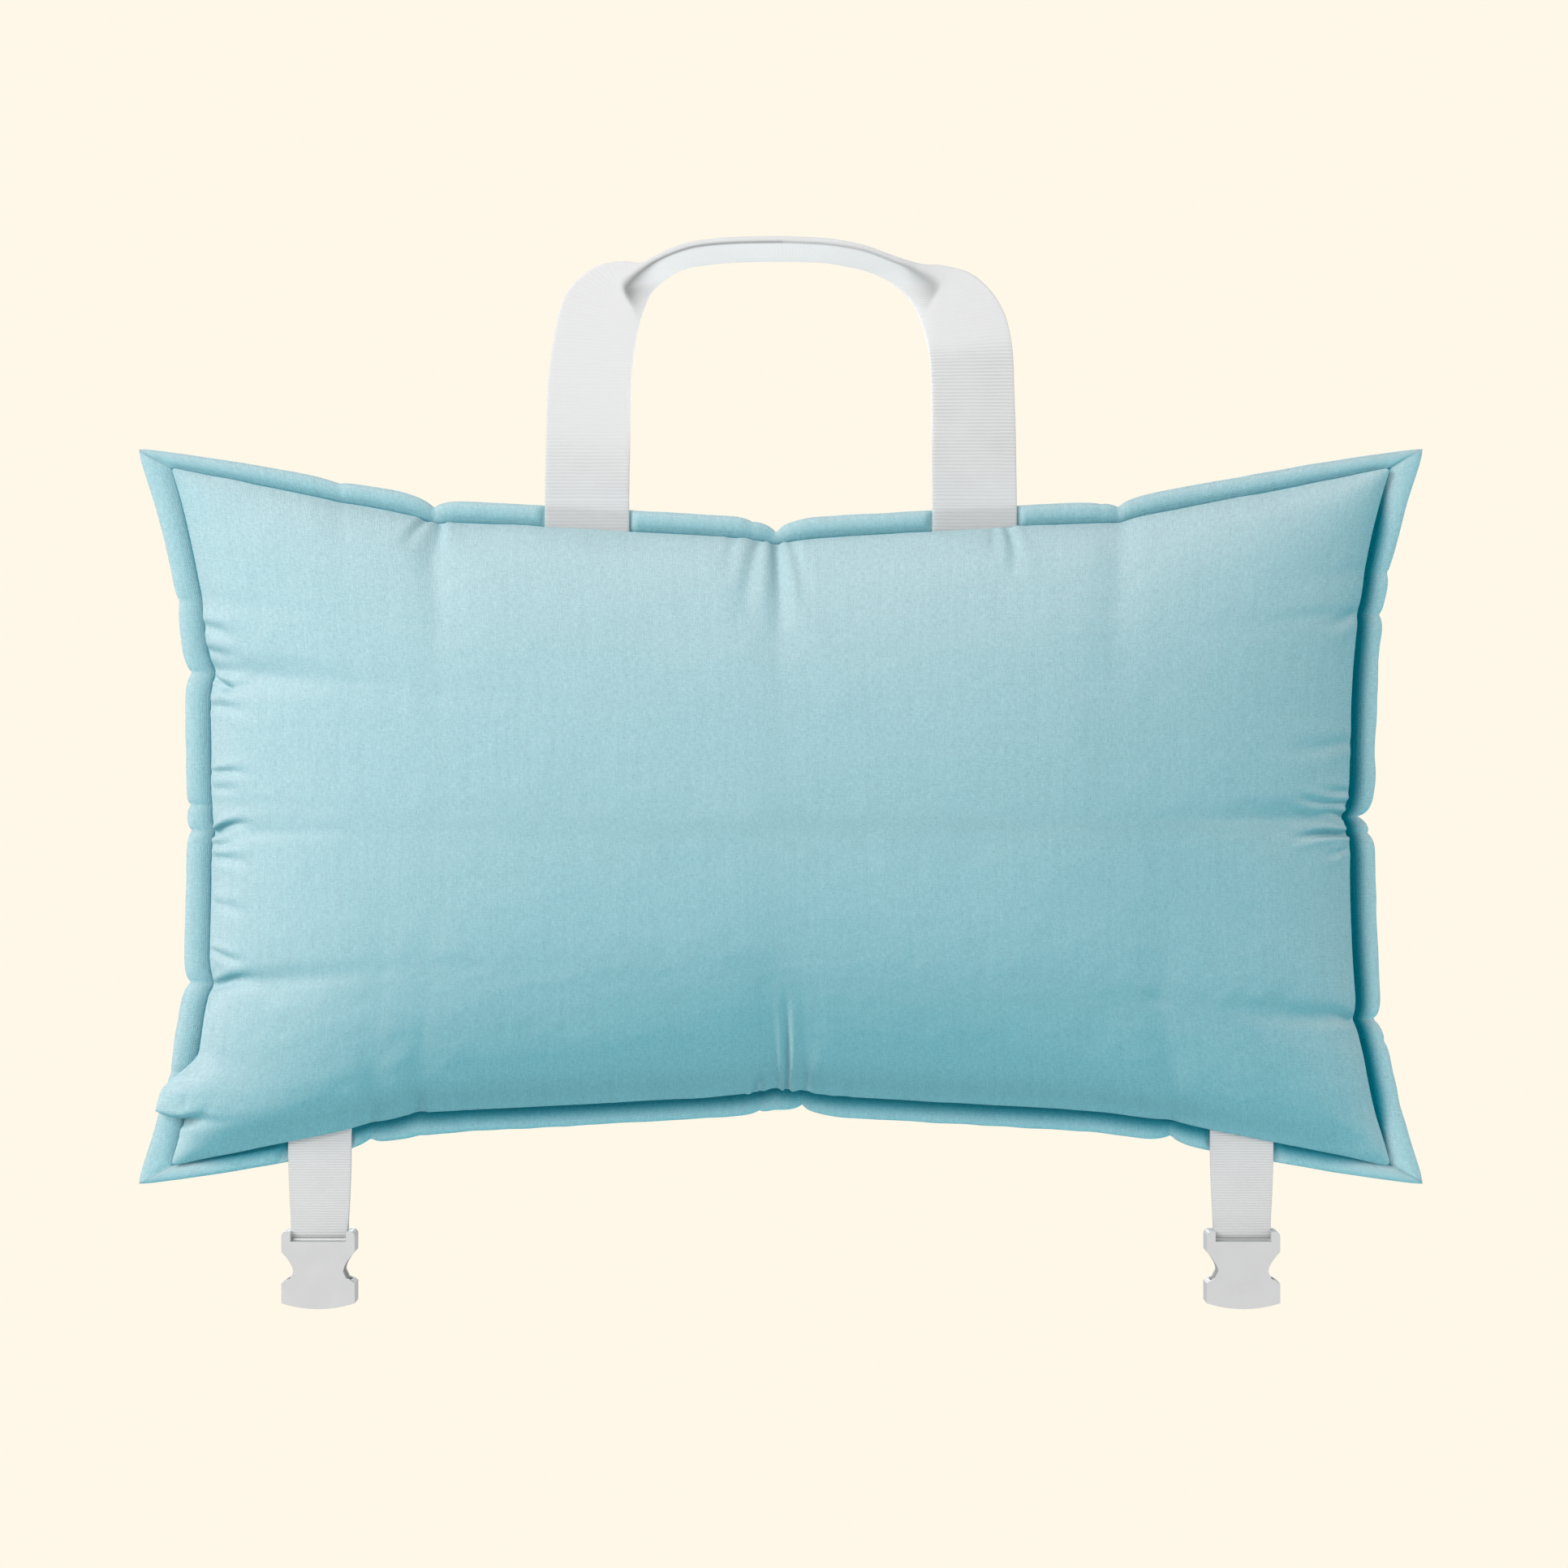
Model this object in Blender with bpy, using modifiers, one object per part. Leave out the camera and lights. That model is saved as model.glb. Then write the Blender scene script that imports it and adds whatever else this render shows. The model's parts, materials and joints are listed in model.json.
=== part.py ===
"""Flanged nursing pillow: a removable cover with a webbing handle and two strap buckles, held by the handle.

Metres, +Z up, the front of the pillow faces -Y. The origin is where a hand holds the handle.
"""

import math

import bmesh
import bpy
from mathutils import Matrix, Vector

# ---- driving dimensions ----
HANDLE_HINGE_Z = 0.1460  # bend line of the handle, over the middle of the pillow
HANDLE_RISE = 0.1192  # middle of the handle over its bend line
HANDLE_THICKNESS = 0.0016
GRIP_ABOVE_MIDDLE = HANDLE_HINGE_Z + HANDLE_RISE - HANDLE_THICKNESS / 2
MIDDLE = Vector((0.0, 0.0, -GRIP_ABOVE_MIDDLE))

# sewn outline of the panels, from the middle of the pillow
SEAM_CORNER_X = 0.2830
SEAM_CORNER_Z = 0.1620
SEAM_MIDDLE_X = 0.2620
SEAM_MIDDLE_Z = 0.1266
SEAM_SLOPE = 0.45  # share of the corner's rise that is an even slope from the middle
SEAM_CORNER_POWER = 1.3
SEAM_SIDE_POWER = 3
CROWN_Y = 0.0800  # front and back of the pillow at its fullest
DOME_POWER_X = 2.4
DOME_POWER_Z = 2.2
DOME_ROUNDNESS = 0.55

# puffed border strip round the seam
FLANGE_TOP_WIDTH = 0.0113
FLANGE_SIDE_WIDTH = 0.0140
FLANGE_CORNER_X = 0.0170
FLANGE_CORNER_Z = 0.0095
FLANGE_ALLOWANCE = 0.0060
FLANGE_THICKNESS = 0.0040
FLANGE_LONG_SECTIONS = 24
FLANGE_SHORT_SECTIONS = 14
FLARE_POWER = 8  # how late the border turns out to its mitre
MITRE_GAP_X = 0.0012
MITRE_GAP_Z = 0.0025

# cloth layers, outside to inside
GAP = 0.0003
COVER_THICKNESS = 0.0012
COVER_RIM_Y = 0.0060
CASE_THICKNESS = 0.0008
CASE_INSET = 0.0100
CASE_RIM_Y = 0.0012
CASE_CROWN_Y = 0.0742
FILLING_INSET = 0.0130
FILLING_RIM_Y = 0.0002
FILLING_CROWN_Y = 0.0722
PANEL_COLUMNS = 16
PANEL_ROWS = 10

# zip across the middle of the back, on an arc about a vertical axis
ZIP_RADIUS = 0.9840
ZIP_HALF_LENGTH = 0.1500
ZIP_SLOT_HALF = 0.0050
ZIP_BEND_SEGMENTS = 16
TAPE_LOW_Z = 0.0020
TAPE_HIGH_Z = 0.0140
TAPE_THICKNESS = 0.0008
TAPE_DEPTH = 0.0030  # tape face below the face of the cover
COIL_LOW_Z = 0.00015
COIL_HIGH_Z = 0.0017
COIL_THICKNESS = 0.0020
COIL_DEPTH = 0.0004
STOP_LENGTH = 0.0030
ZIP_END_MARGIN = 0.0010
SLIDER_LENGTH = 0.0090
SLIDER_HALF_Z = 0.0040
SLIDER_PLATE = 0.0014
SLIDER_CHEEK = 0.0009
SLIDER_CHEEK_DEPTH = 0.0013
SLIDER_AT = 0.1400  # distance from the middle of the zip when closed
HARDWARE_EDGE = 0.0003
STOP_EDGE = 0.0004
BRIDGE_HALF_X = 0.0027
BRIDGE_HALF_Z = 0.0008
BRIDGE_HEIGHT = 0.0027
BRIDGE_HOLE_HALF_X = 0.0011
BRIDGE_HOLE_HIGH = 0.0019
PULL_LENGTH = 0.0240
PULL_HALF_Z = 0.0036
PULL_THICKNESS = 0.0010
PULL_EYE_HALF_Z = 0.0012
PULL_EYE_LENGTH = 0.0042
PULL_BAR = 0.0005

# handle webbing
HANDLE_HALF_WIDTH = 0.0190
HANDLE_LEG_X = 0.0900
HANDLE_HALF_SECTIONS = 18
BEND_CLEARANCE = 0.0014  # free cloth between a sewn end and the bend line beside it
WEBBING_BEHIND_Y = 0.0003

# lower straps and buckle sockets
STRAP_X = 0.2140
STRAP_TOP_HALF_WIDTH = 0.0144
STRAP_LOOP_HALF_WIDTH = 0.0124
STRAP_LAYER = 0.0008
STRAP_LAYER_OFFSET = 0.00055
STRAP_HINGE_Z = -0.1630
SOCKET_BAR_Z = -0.1935
BAR_RADIUS = 0.0011
LOOP_RADIUS = 0.00185
LOOP_SPREAD_Z = 0.0075
LOOP_STEPS = 5
LOOP_TURN_STEPS = 8
SEWN_DEPTH = 0.0045

SOCKET_HALF_WIDTH = 0.0170
SOCKET_WAIST_HALF = 0.0115
SOCKET_THICKNESS = 0.0110
SOCKET_EAR_TOP = 0.0016
SOCKET_BODY_TOP = -0.0031
SOCKET_NOTCH_TOP = -0.0078
SOCKET_NOTCH_END = -0.0169
SOCKET_NOTCH_POWER = 1.6
SOCKET_SHOULDER_END = -0.0224
# shoulder below the notch: share of the notch's depth left, and height
SOCKET_SHOULDER = ((0.65, -0.0212), (0.28, -0.0203), (0.07, -0.0179))
SOCKET_SIDE_END = -0.0316
SOCKET_EAR_RADIUS = 0.0022
SOCKET_CURVE_STEPS = 6
SOCKET_EDGE = 0.0012
CUT_OVERSHOOT = 0.0100
SOCKET_BOTTOM = -0.0343
SOCKET_SLOT_HALF = 0.0129
SOCKET_WALL = 0.0020
CAVITY_HALF_WIDTH = 0.0150
CAVITY_TOP = -0.0105

# ---- cloth and hardware colours: base colour, roughness, metallic ----
LOOKS = {
    "cover_cloth": ((0.42, 0.66, 0.72), 0.9, 0.0),
    "border_cloth": ((0.34, 0.60, 0.67), 0.9, 0.0),
    "case_cloth": ((0.86, 0.86, 0.84), 0.9, 0.0),
    "fibre": ((0.93, 0.93, 0.92), 1.0, 0.0),
    "webbing": ((0.80, 0.80, 0.80), 0.8, 0.0),
    "socket_plastic": ((0.74, 0.74, 0.74), 0.35, 0.0),
    "zip_cloth": ((0.46, 0.68, 0.73), 0.85, 0.0),
    "zip_plastic": ((0.62, 0.76, 0.79), 0.4, 0.0),
}


def clear_scene():
    for obj in list(bpy.data.objects):
        bpy.data.objects.remove(obj, do_unlink=True)


def new_collection(name, helper=False):
    collection = bpy.data.collections.new(name)
    bpy.context.scene.collection.children.link(collection)
    collection.hide_render = helper
    return collection


def look_material(name):
    """The named look as a Principled material, made once."""
    material = bpy.data.materials.get(name)
    if material:
        return material
    colour, roughness, metallic = LOOKS[name]
    material = bpy.data.materials.new(name)
    material.use_nodes = True
    shader = material.node_tree.nodes["Principled BSDF"]
    shader.inputs["Base Color"].default_value = (*colour, 1.0)
    shader.inputs["Roughness"].default_value = roughness
    shader.inputs["Metallic"].default_value = metallic
    material.diffuse_color = (*colour, 1.0)
    return material


def add_object(name, mesh, look, collection, parent, smooth=True):
    obj = bpy.data.objects.new(name, mesh)
    collection.objects.link(obj)
    obj.parent = parent
    obj.data.materials.append(look_material(look))
    if smooth:
        mesh.shade_smooth()
        mesh.set_sharp_from_angle(angle=math.radians(40))
    return obj


def add_empty(name, place, collection, parent=None):
    """An empty at a joint. place is relative to the parent."""
    empty = bpy.data.objects.new(name, None)
    empty.empty_display_size = 0.01
    empty.location = place
    empty.parent = parent
    collection.objects.link(empty)
    return empty


def mesh_from(bm, name):
    mesh = bpy.data.meshes.new(name)
    bm.to_mesh(mesh)
    bm.free()
    return mesh


def formed_sheet(name, form, columns, rows, flipped=False):
    """A grid whose corners run from -1 to 1, put in place by form(across, along) -> (x, y, z)."""
    bm = bmesh.new()
    bmesh.ops.create_grid(bm, x_segments=columns, y_segments=rows, size=1.0)
    for vertex in bm.verts:
        vertex.co = Vector(form(vertex.co.x, vertex.co.y))
    if flipped:
        bmesh.ops.reverse_faces(bm, faces=bm.faces)
    return mesh_from(bm, name)


def thicken(obj, thickness, offset):
    solidify = obj.modifiers.new("Thickness", "SOLIDIFY")
    solidify.thickness = thickness
    solidify.offset = offset
    return solidify


def cut(obj, cutter):
    boolean = obj.modifiers.new("Cut " + cutter.name, "BOOLEAN")
    boolean.operation = "DIFFERENCE"
    boolean.object = cutter


def bevel(obj, width, segments=2):
    rounding = obj.modifiers.new("Edges", "BEVEL")
    rounding.width = width
    rounding.segments = segments
    rounding.limit_method = "ANGLE"
    rounding.angle_limit = math.radians(40)


def block(name, low, high):
    """A box mesh between two corners."""
    bm = bmesh.new()
    bmesh.ops.create_cube(bm, size=1.0)
    size = [high[i] - low[i] for i in range(3)]
    centre = [(high[i] + low[i]) / 2 for i in range(3)]
    bmesh.ops.scale(bm, vec=size, verts=bm.verts)
    bmesh.ops.translate(bm, vec=centre, verts=bm.verts)
    return mesh_from(bm, name)


def add_cutter(name, mesh, collection, parent):
    obj = bpy.data.objects.new(name, mesh)
    obj.hide_render = True
    obj.display_type = "WIRE"
    obj.parent = parent
    collection.objects.link(obj)
    return obj


def flat_outline(name, points, thickness, collection):
    """A closed outline in X and Z, filled and extruded along Y, as a mesh."""
    curve = bpy.data.curves.new(name, "CURVE")
    curve.dimensions = "2D"
    curve.fill_mode = "BOTH"
    curve.extrude = thickness / 2
    spline = curve.splines.new("POLY")
    spline.points.add(len(points) - 1)
    for point, (x, z) in zip(spline.points, points):
        point.co = (x, z, 0.0, 1.0)
    spline.use_cyclic_u = True
    holder = bpy.data.objects.new(name + "_outline", curve)
    collection.objects.link(holder)
    bpy.context.view_layer.update()
    graph = bpy.context.evaluated_depsgraph_get()
    mesh = bpy.data.meshes.new_from_object(holder.evaluated_get(graph))
    bpy.data.objects.remove(holder)
    bm = bmesh.new()
    bm.from_mesh(mesh)
    bmesh.ops.remove_doubles(bm, verts=bm.verts, dist=1e-5)
    bmesh.ops.rotate(bm, matrix=Matrix.Rotation(math.radians(90), 3, "X"), verts=bm.verts)
    bmesh.ops.recalc_face_normals(bm, faces=bm.faces)
    bm.to_mesh(mesh)
    bm.free()
    return mesh


def arc_points(centre, radius, start_deg, end_deg, steps):
    """Points on an arc in X and Z."""
    points = []
    for step in range(steps + 1):
        angle = math.radians(start_deg + (end_deg - start_deg) * step / steps)
        points.append((centre[0] + radius * math.cos(angle), centre[1] + radius * math.sin(angle)))
    return points


# ---- outline of the pillow ----
def seam_half_x(across_z):
    """Half width at a height, which is -1 to 1 of the corner height."""
    return SEAM_MIDDLE_X + (SEAM_CORNER_X - SEAM_MIDDLE_X) * abs(across_z) ** SEAM_SIDE_POWER


def seam_half_z(across_x):
    """Half height at a place along the width, nearly level in the middle and steep by the corners."""
    t = abs(across_x)
    rise = SEAM_SLOPE * t + (1.0 - SEAM_SLOPE) * max(0.0, 2.0 * t - 1.0) ** SEAM_CORNER_POWER
    return SEAM_MIDDLE_Z + (SEAM_CORNER_Z - SEAM_MIDDLE_Z) * rise


def dome(u, v):
    return ((1.0 - abs(u) ** DOME_POWER_X) * (1.0 - abs(v) ** DOME_POWER_Z)) ** DOME_ROUNDNESS


def eased(t):
    """-1 to 1 with the steps closer by the ends, where the dome is steep."""
    return math.sin(math.pi / 2 * t)


def panel_form(side, inset, rim_y, crown_y, low=-1.0, slot=None):
    """form() of a domed panel: side -1 is the front. low above -1 cuts it off along the zip."""

    def form(across, along):
        u = eased(across)
        if slot is None:
            v = eased(along)
        else:
            start = slot(u * SEAM_MIDDLE_X) / SEAM_MIDDLE_Z
            v = low * (start + (1.0 - start) * math.sin(math.pi / 2 * (along + 1.0) / 2))
        x = u * (seam_half_x(v) - inset)
        z = v * (seam_half_z(u) - inset)
        y = side * (rim_y + (crown_y - rim_y) * dome(u, v))
        return MIDDLE + Vector((x, y, z))

    return form


def zip_slot(x):
    """Half height of the slot between the two back panels."""
    inside = abs(x) < ZIP_HALF_LENGTH
    return ZIP_SLOT_HALF if inside else 2 * GAP


def make_covers(collection, pillow):
    front = formed_sheet("front_cover", panel_form(-1, 0.0, COVER_RIM_Y, CROWN_Y), PANEL_COLUMNS, PANEL_ROWS)
    obj = add_object("front_cover", front, "cover_cloth", collection, pillow)
    thicken(obj, COVER_THICKNESS, -1.0)
    for name, upwards in (("back_cover_upper", 1.0), ("back_cover_lower", -1.0)):
        form = panel_form(1, 0.0, COVER_RIM_Y, CROWN_Y, upwards, zip_slot)
        mesh = formed_sheet(name, form, PANEL_COLUMNS, PANEL_ROWS // 2, flipped=upwards > 0)
        obj = add_object(name, mesh, "cover_cloth", collection, pillow)
        thicken(obj, COVER_THICKNESS, -1.0)


def make_inner_pillow(collection, pillow):
    """The inner pillow's case in two panels, and its fibre filling as one solid."""
    for name, side in (("inner_case_front", -1), ("inner_case_back", 1)):
        form = panel_form(side, CASE_INSET, CASE_RIM_Y, CASE_CROWN_Y)
        mesh = formed_sheet(name, form, PANEL_COLUMNS, PANEL_ROWS, flipped=side > 0)
        obj = add_object(name, mesh, "case_cloth", collection, pillow)
        thicken(obj, CASE_THICKNESS, -1.0)
    bm = bmesh.new()
    for side in (-1, 1):
        form = panel_form(side, FILLING_INSET, FILLING_RIM_Y, FILLING_CROWN_Y)
        half = formed_sheet("half", form, PANEL_COLUMNS, PANEL_ROWS, flipped=side > 0)
        bm.from_mesh(half)
        bpy.data.meshes.remove(half)
    rims = [edge for edge in bm.edges if edge.is_boundary]
    bmesh.ops.bridge_loops(bm, edges=rims)
    bmesh.ops.recalc_face_normals(bm, faces=bm.faces)
    add_object("fibre_filling", mesh_from(bm, "fibre_filling"), "fibre", collection, pillow)


def flange_form(along_x, sign):
    """form() of one side of the border: inner edge inside the seam, outer edge at the border's edge."""

    def form(along, across):
        out = (across + 1.0) / 2.0
        t = eased(along)
        flare = abs(t) ** FLARE_POWER * math.copysign(1.0, t)
        if along_x:
            x = t * SEAM_CORNER_X
            z = sign * seam_half_z(t)
            to_x = flare * FLANGE_CORNER_X
            to_z = sign * (FLANGE_TOP_WIDTH + (FLANGE_CORNER_Z - FLANGE_TOP_WIDTH) * abs(flare))
        else:
            x = sign * seam_half_x(t)
            z = t * SEAM_CORNER_Z
            to_x = sign * (FLANGE_SIDE_WIDTH + (FLANGE_CORNER_X - FLANGE_SIDE_WIDTH) * abs(flare))
            to_z = flare * FLANGE_CORNER_Z
        width = Vector((to_x, to_z)).length
        reach = -FLANGE_ALLOWANCE / width + (1.0 + FLANGE_ALLOWANCE / width) * out
        x = (x + to_x * reach) * (1.0 - MITRE_GAP_X * along_x)
        z = (z + to_z * reach) * (1.0 - MITRE_GAP_Z * (not along_x))
        return MIDDLE + Vector((x, 0.0, z))

    return form


def make_flange(collection, pillow):
    sides = (
        ("flange_top", True, 1.0),
        ("flange_bottom", True, -1.0),
        ("flange_left", False, -1.0),
        ("flange_right", False, 1.0),
    )
    for name, along_x, sign in sides:
        sections = FLANGE_LONG_SECTIONS if along_x else FLANGE_SHORT_SECTIONS
        mesh = formed_sheet(name, flange_form(along_x, sign), sections, 2)
        obj = add_object(name, mesh, "border_cloth", collection, pillow)
        thicken(obj, FLANGE_THICKNESS, 0.0)


# ---- zip on the back ----
def zip_point(distance, depth, z):
    """A point at a distance along the zip's arc and a depth below the cover's face."""
    angle = distance / ZIP_RADIUS
    radius = ZIP_RADIUS - depth
    return MIDDLE + Vector((radius * math.sin(angle), CROWN_Y - ZIP_RADIUS + radius * math.cos(angle), z))


def zip_strip(name, depth, low_z, high_z, half_length, thickness, look, collection, pillow):
    def form(along, across):
        z = low_z + (high_z - low_z) * (across + 1.0) / 2.0
        return zip_point(along * half_length, depth, z)

    mesh = formed_sheet(name, form, ZIP_BEND_SEGMENTS, 1, flipped=True)
    obj = add_object(name, mesh, look, collection, pillow)
    thicken(obj, thickness, -1.0)


def make_zip(collection, pillow):
    chain_half = ZIP_HALF_LENGTH - ZIP_END_MARGIN - STOP_LENGTH
    for name, sign in (("upper", 1.0), ("lower", -1.0)):
        tape = sorted((sign * TAPE_LOW_Z, sign * TAPE_HIGH_Z))
        coil = sorted((sign * COIL_LOW_Z, sign * COIL_HIGH_Z))
        zip_strip("zip_tape_" + name, TAPE_DEPTH, *tape, ZIP_HALF_LENGTH, TAPE_THICKNESS,
                  "zip_cloth", collection, pillow)
        zip_strip("zip_coil_" + name, COIL_DEPTH, *coil, chain_half, COIL_THICKNESS,
                  "zip_plastic", collection, pillow)
    for name, sign in (("zip_stop_left", -1.0), ("zip_stop_right", 1.0)):
        holder = add_empty(name + "_place", (0.0, 0.0, 0.0), collection, pillow)
        place_on_zip(holder, sign * (chain_half + GAP + STOP_LENGTH / 2), Vector((0.0, 0.0, 0.0)))
        half = STOP_LENGTH / 2
        mesh = block(name, (-half, -COIL_DEPTH - COIL_THICKNESS, -COIL_HIGH_Z), (half, 0.0, COIL_HIGH_Z))
        obj = add_object(name, mesh, "zip_plastic", collection, holder, smooth=False)
        bevel(obj, STOP_EDGE)


def place_on_zip(holder, distance, parent_place):
    """Moves an empty onto the zip's arc, its Y pointing out of the cushion."""
    holder.location = zip_point(distance, 0.0, 0.0) - parent_place
    holder.rotation_euler = (0.0, 0.0, -distance / ZIP_RADIUS)


def make_slider(collection, cutters):
    """The slider's outer half, and its pull on a bar through the bridge."""
    arc_axis = MIDDLE + Vector((0.0, CROWN_Y - ZIP_RADIUS, 0.0))
    arc = add_empty("zip_arc_axis", arc_axis, collection)
    slider = add_empty("zip_slider_place", (0.0, 0.0, 0.0), collection, arc)
    place_on_zip(slider, SLIDER_AT, arc_axis)
    half = SLIDER_LENGTH / 2
    plate_low = GAP
    plate_high = plate_low + SLIDER_PLATE
    body = block("zip_slider", (-half, -SLIDER_CHEEK_DEPTH, -SLIDER_HALF_Z), (half, plate_high, SLIDER_HALF_Z))
    obj = add_object("zip_slider", body, "zip_plastic", collection, slider, smooth=False)
    inner = SLIDER_HALF_Z - SLIDER_CHEEK
    channel = block("slider_channel", (-half * 2, -SLIDER_CHEEK_DEPTH * 2, -inner), (half * 2, plate_low, inner))
    cut(obj, add_cutter("slider_channel", channel, cutters, slider))
    bevel(obj, HARDWARE_EDGE, 1)

    arch = block("bridge", (-BRIDGE_HALF_X, plate_high - SLIDER_PLATE / 3, -BRIDGE_HALF_Z),
                 (BRIDGE_HALF_X, plate_high + BRIDGE_HEIGHT, BRIDGE_HALF_Z))
    arch_cutter = add_cutter("bridge", arch, cutters, slider)
    join = obj.modifiers.new("Bridge", "BOOLEAN")
    join.operation = "UNION"
    join.object = arch_cutter
    hole = block("bridge_hole", (-BRIDGE_HOLE_HALF_X, plate_high, -SLIDER_HALF_Z),
                 (BRIDGE_HOLE_HALF_X, plate_high + BRIDGE_HOLE_HIGH, SLIDER_HALF_Z))
    cut(obj, add_cutter("bridge_hole", hole, cutters, slider))

    pivot = add_empty("zip_pull_pivot", (0.0, plate_high + BRIDGE_HOLE_HIGH / 2, 0.0), collection, slider)
    tab_half = PULL_THICKNESS / 2
    tab = block("zip_pull", (-PULL_LENGTH, -tab_half, -PULL_HALF_Z), (PULL_BAR, tab_half, PULL_HALF_Z))
    pull = add_object("zip_pull", tab, "zip_plastic", collection, pivot, smooth=False)
    eye = block("pull_eye", (-PULL_EYE_LENGTH, -PULL_THICKNESS, -PULL_EYE_HALF_Z),
                (-PULL_BAR, PULL_THICKNESS, PULL_EYE_HALF_Z))
    cut(pull, add_cutter("pull_eye", eye, cutters, pivot))
    bevel(pull, HARDWARE_EDGE, 1)


# ---- handle ----
# Half of the handle, from the bend line at a leg to the middle: x from the middle of the pillow, height
# over the bend line, and how far the webbing has turned from facing the front to lying level.
HANDLE_STATIONS = (
    (-HANDLE_LEG_X, 0.0006, 0.0),
    (-HANDLE_LEG_X, 0.0250, 0.0),
    (-0.0895, 0.0500, 0.0),
    (-0.0880, 0.0720, 3.0),
    (-0.0845, 0.0880, 12.0),
    (-0.0775, 0.1010, 32.0),
    (-0.0670, 0.1092, 55.0),
    (-0.0530, 0.1140, 73.0),
    (-0.0350, 0.1172, 84.0),
    (-0.0170, 0.1188, 90.0),
    (0.0000, HANDLE_RISE, 90.0),
)


def spline_value(rows, t):
    """Catmull-Rom value at t, 0 to 1, through rows of numbers."""
    place = t * (len(rows) - 1)
    i = min(int(place), len(rows) - 2)
    f = place - i
    before = rows[max(i - 1, 0)]
    after = rows[min(i + 2, len(rows) - 1)]
    value = []
    for p0, p1, p2, p3 in zip(before, rows[i], rows[i + 1], after):
        curve = (2 * p0 - 5 * p1 + 4 * p2 - p3) * f * f + (3 * p1 - p0 - 3 * p2 + p3) * f * f * f
        value.append(0.5 * (2 * p1 + (p2 - p0) * f + curve))
    return value


def webbing_frame(along):
    """Centre and width direction of the handle at along, -1 to 1 from leg to leg."""
    side = -1.0 if along < 0 else 1.0
    t = 1.0 - abs(along)
    x, height, turn = spline_value(HANDLE_STATIONS, t)
    ahead = spline_value(HANDLE_STATIONS, min(t + 0.01, 1.0))
    behind = spline_value(HANDLE_STATIONS, max(t - 0.01, 0.0))
    run = Vector((ahead[0] - behind[0], ahead[1] - behind[1])).normalized()
    turn = math.radians(turn)
    inward = Vector((run.y * math.cos(turn), math.sin(turn), -run.x * math.cos(turn)))
    centre = Vector((-side * x, handle_y() * (math.cos(turn) - 1.0), height))
    if side > 0:
        inward.x = -inward.x
    return centre, inward


def handle_y():
    return -(FLANGE_THICKNESS / 2 + WEBBING_BEHIND_Y + HANDLE_THICKNESS / 2)


def make_handle(collection, pillow):
    hinge = MIDDLE + Vector((0.0, handle_y(), HANDLE_HINGE_Z))
    handle = add_empty("handle_bend", hinge, collection)

    def form(along, across):
        centre, width = webbing_frame(along)
        return centre + width * (across * HANDLE_HALF_WIDTH)

    mesh = formed_sheet("handle_webbing", form, 2 * HANDLE_HALF_SECTIONS, 2)
    obj = add_object("handle_webbing", mesh, "webbing", collection, handle)
    thicken(obj, HANDLE_THICKNESS, 0.0)

    for name, side in (("handle_end_left", -1.0), ("handle_end_right", 1.0)):
        x = side * HANDLE_LEG_X
        low_z = seam_half_z(HANDLE_LEG_X / SEAM_CORNER_X) - SEWN_DEPTH
        low = MIDDLE + Vector((x - HANDLE_HALF_WIDTH, handle_y() - HANDLE_THICKNESS / 2, low_z))
        high_z = HANDLE_HINGE_Z - BEND_CLEARANCE
        high = MIDDLE + Vector((x + HANDLE_HALF_WIDTH, handle_y() + HANDLE_THICKNESS / 2, high_z))
        add_object(name, block(name, low, high), "webbing", collection, pillow, smooth=False)


# ---- lower straps and buckle sockets ----
def strap_y():
    return -(FLANGE_THICKNESS / 2 + WEBBING_BEHIND_Y + STRAP_LAYER / 2 + STRAP_LAYER_OFFSET)


def loop_path(length):
    """Y and Z of a strap's webbing: down the front, round the bar at -length, and up the back."""
    front = [(-STRAP_LAYER_OFFSET, 0.0)]
    top = -length + LOOP_SPREAD_Z
    for step in range(LOOP_STEPS):
        t = step / LOOP_STEPS
        ease = (1 - math.cos(math.pi * t)) / 2
        y = -STRAP_LAYER_OFFSET - (LOOP_RADIUS - STRAP_LAYER_OFFSET) * ease
        front.append((y, top - LOOP_SPREAD_Z * t))
    turn = [(y, z - length) for y, z in arc_points((0.0, 0.0), LOOP_RADIUS, 180, 360, LOOP_TURN_STEPS)]
    back = [(-y, z) for y, z in reversed(front)]
    return front + turn + back


def make_strap(side, collection, cutters, pillow):
    name = "left" if side < 0 else "right"
    hinge = MIDDLE + Vector((side * STRAP_X, strap_y(), STRAP_HINGE_Z))
    bend = add_empty("strap_bend_" + name, hinge, collection)
    length = STRAP_HINGE_Z - SOCKET_BAR_Z
    path = loop_path(length)

    def form(across, along):
        place = (along + 1.0) / 2.0 * (len(path) - 1)
        y, z = path[round(place)]
        narrowing = min(1.0, -z / length)
        half = STRAP_TOP_HALF_WIDTH + (STRAP_LOOP_HALF_WIDTH - STRAP_TOP_HALF_WIDTH) * narrowing
        return Vector((across * half, y, z - GAP * (1.0 - narrowing)))

    mesh = formed_sheet("strap_" + name, form, 1, len(path) - 1)
    obj = add_object("strap_" + name, mesh, "webbing", collection, bend)
    thicken(obj, STRAP_LAYER, 0.0)

    half_y = STRAP_LAYER_OFFSET + STRAP_LAYER / 2
    high_z = -seam_half_z(STRAP_X / SEAM_CORNER_X) + SEWN_DEPTH
    low_z = STRAP_HINGE_Z + BEND_CLEARANCE
    low = MIDDLE + Vector((side * STRAP_X - STRAP_TOP_HALF_WIDTH, strap_y() - half_y, low_z))
    high = MIDDLE + Vector((side * STRAP_X + STRAP_TOP_HALF_WIDTH, strap_y() + half_y, high_z))
    add_object("strap_end_" + name, block("strap_end", low, high), "webbing", collection, pillow, smooth=False)
    make_socket(name, bend, length, collection, cutters)


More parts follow.
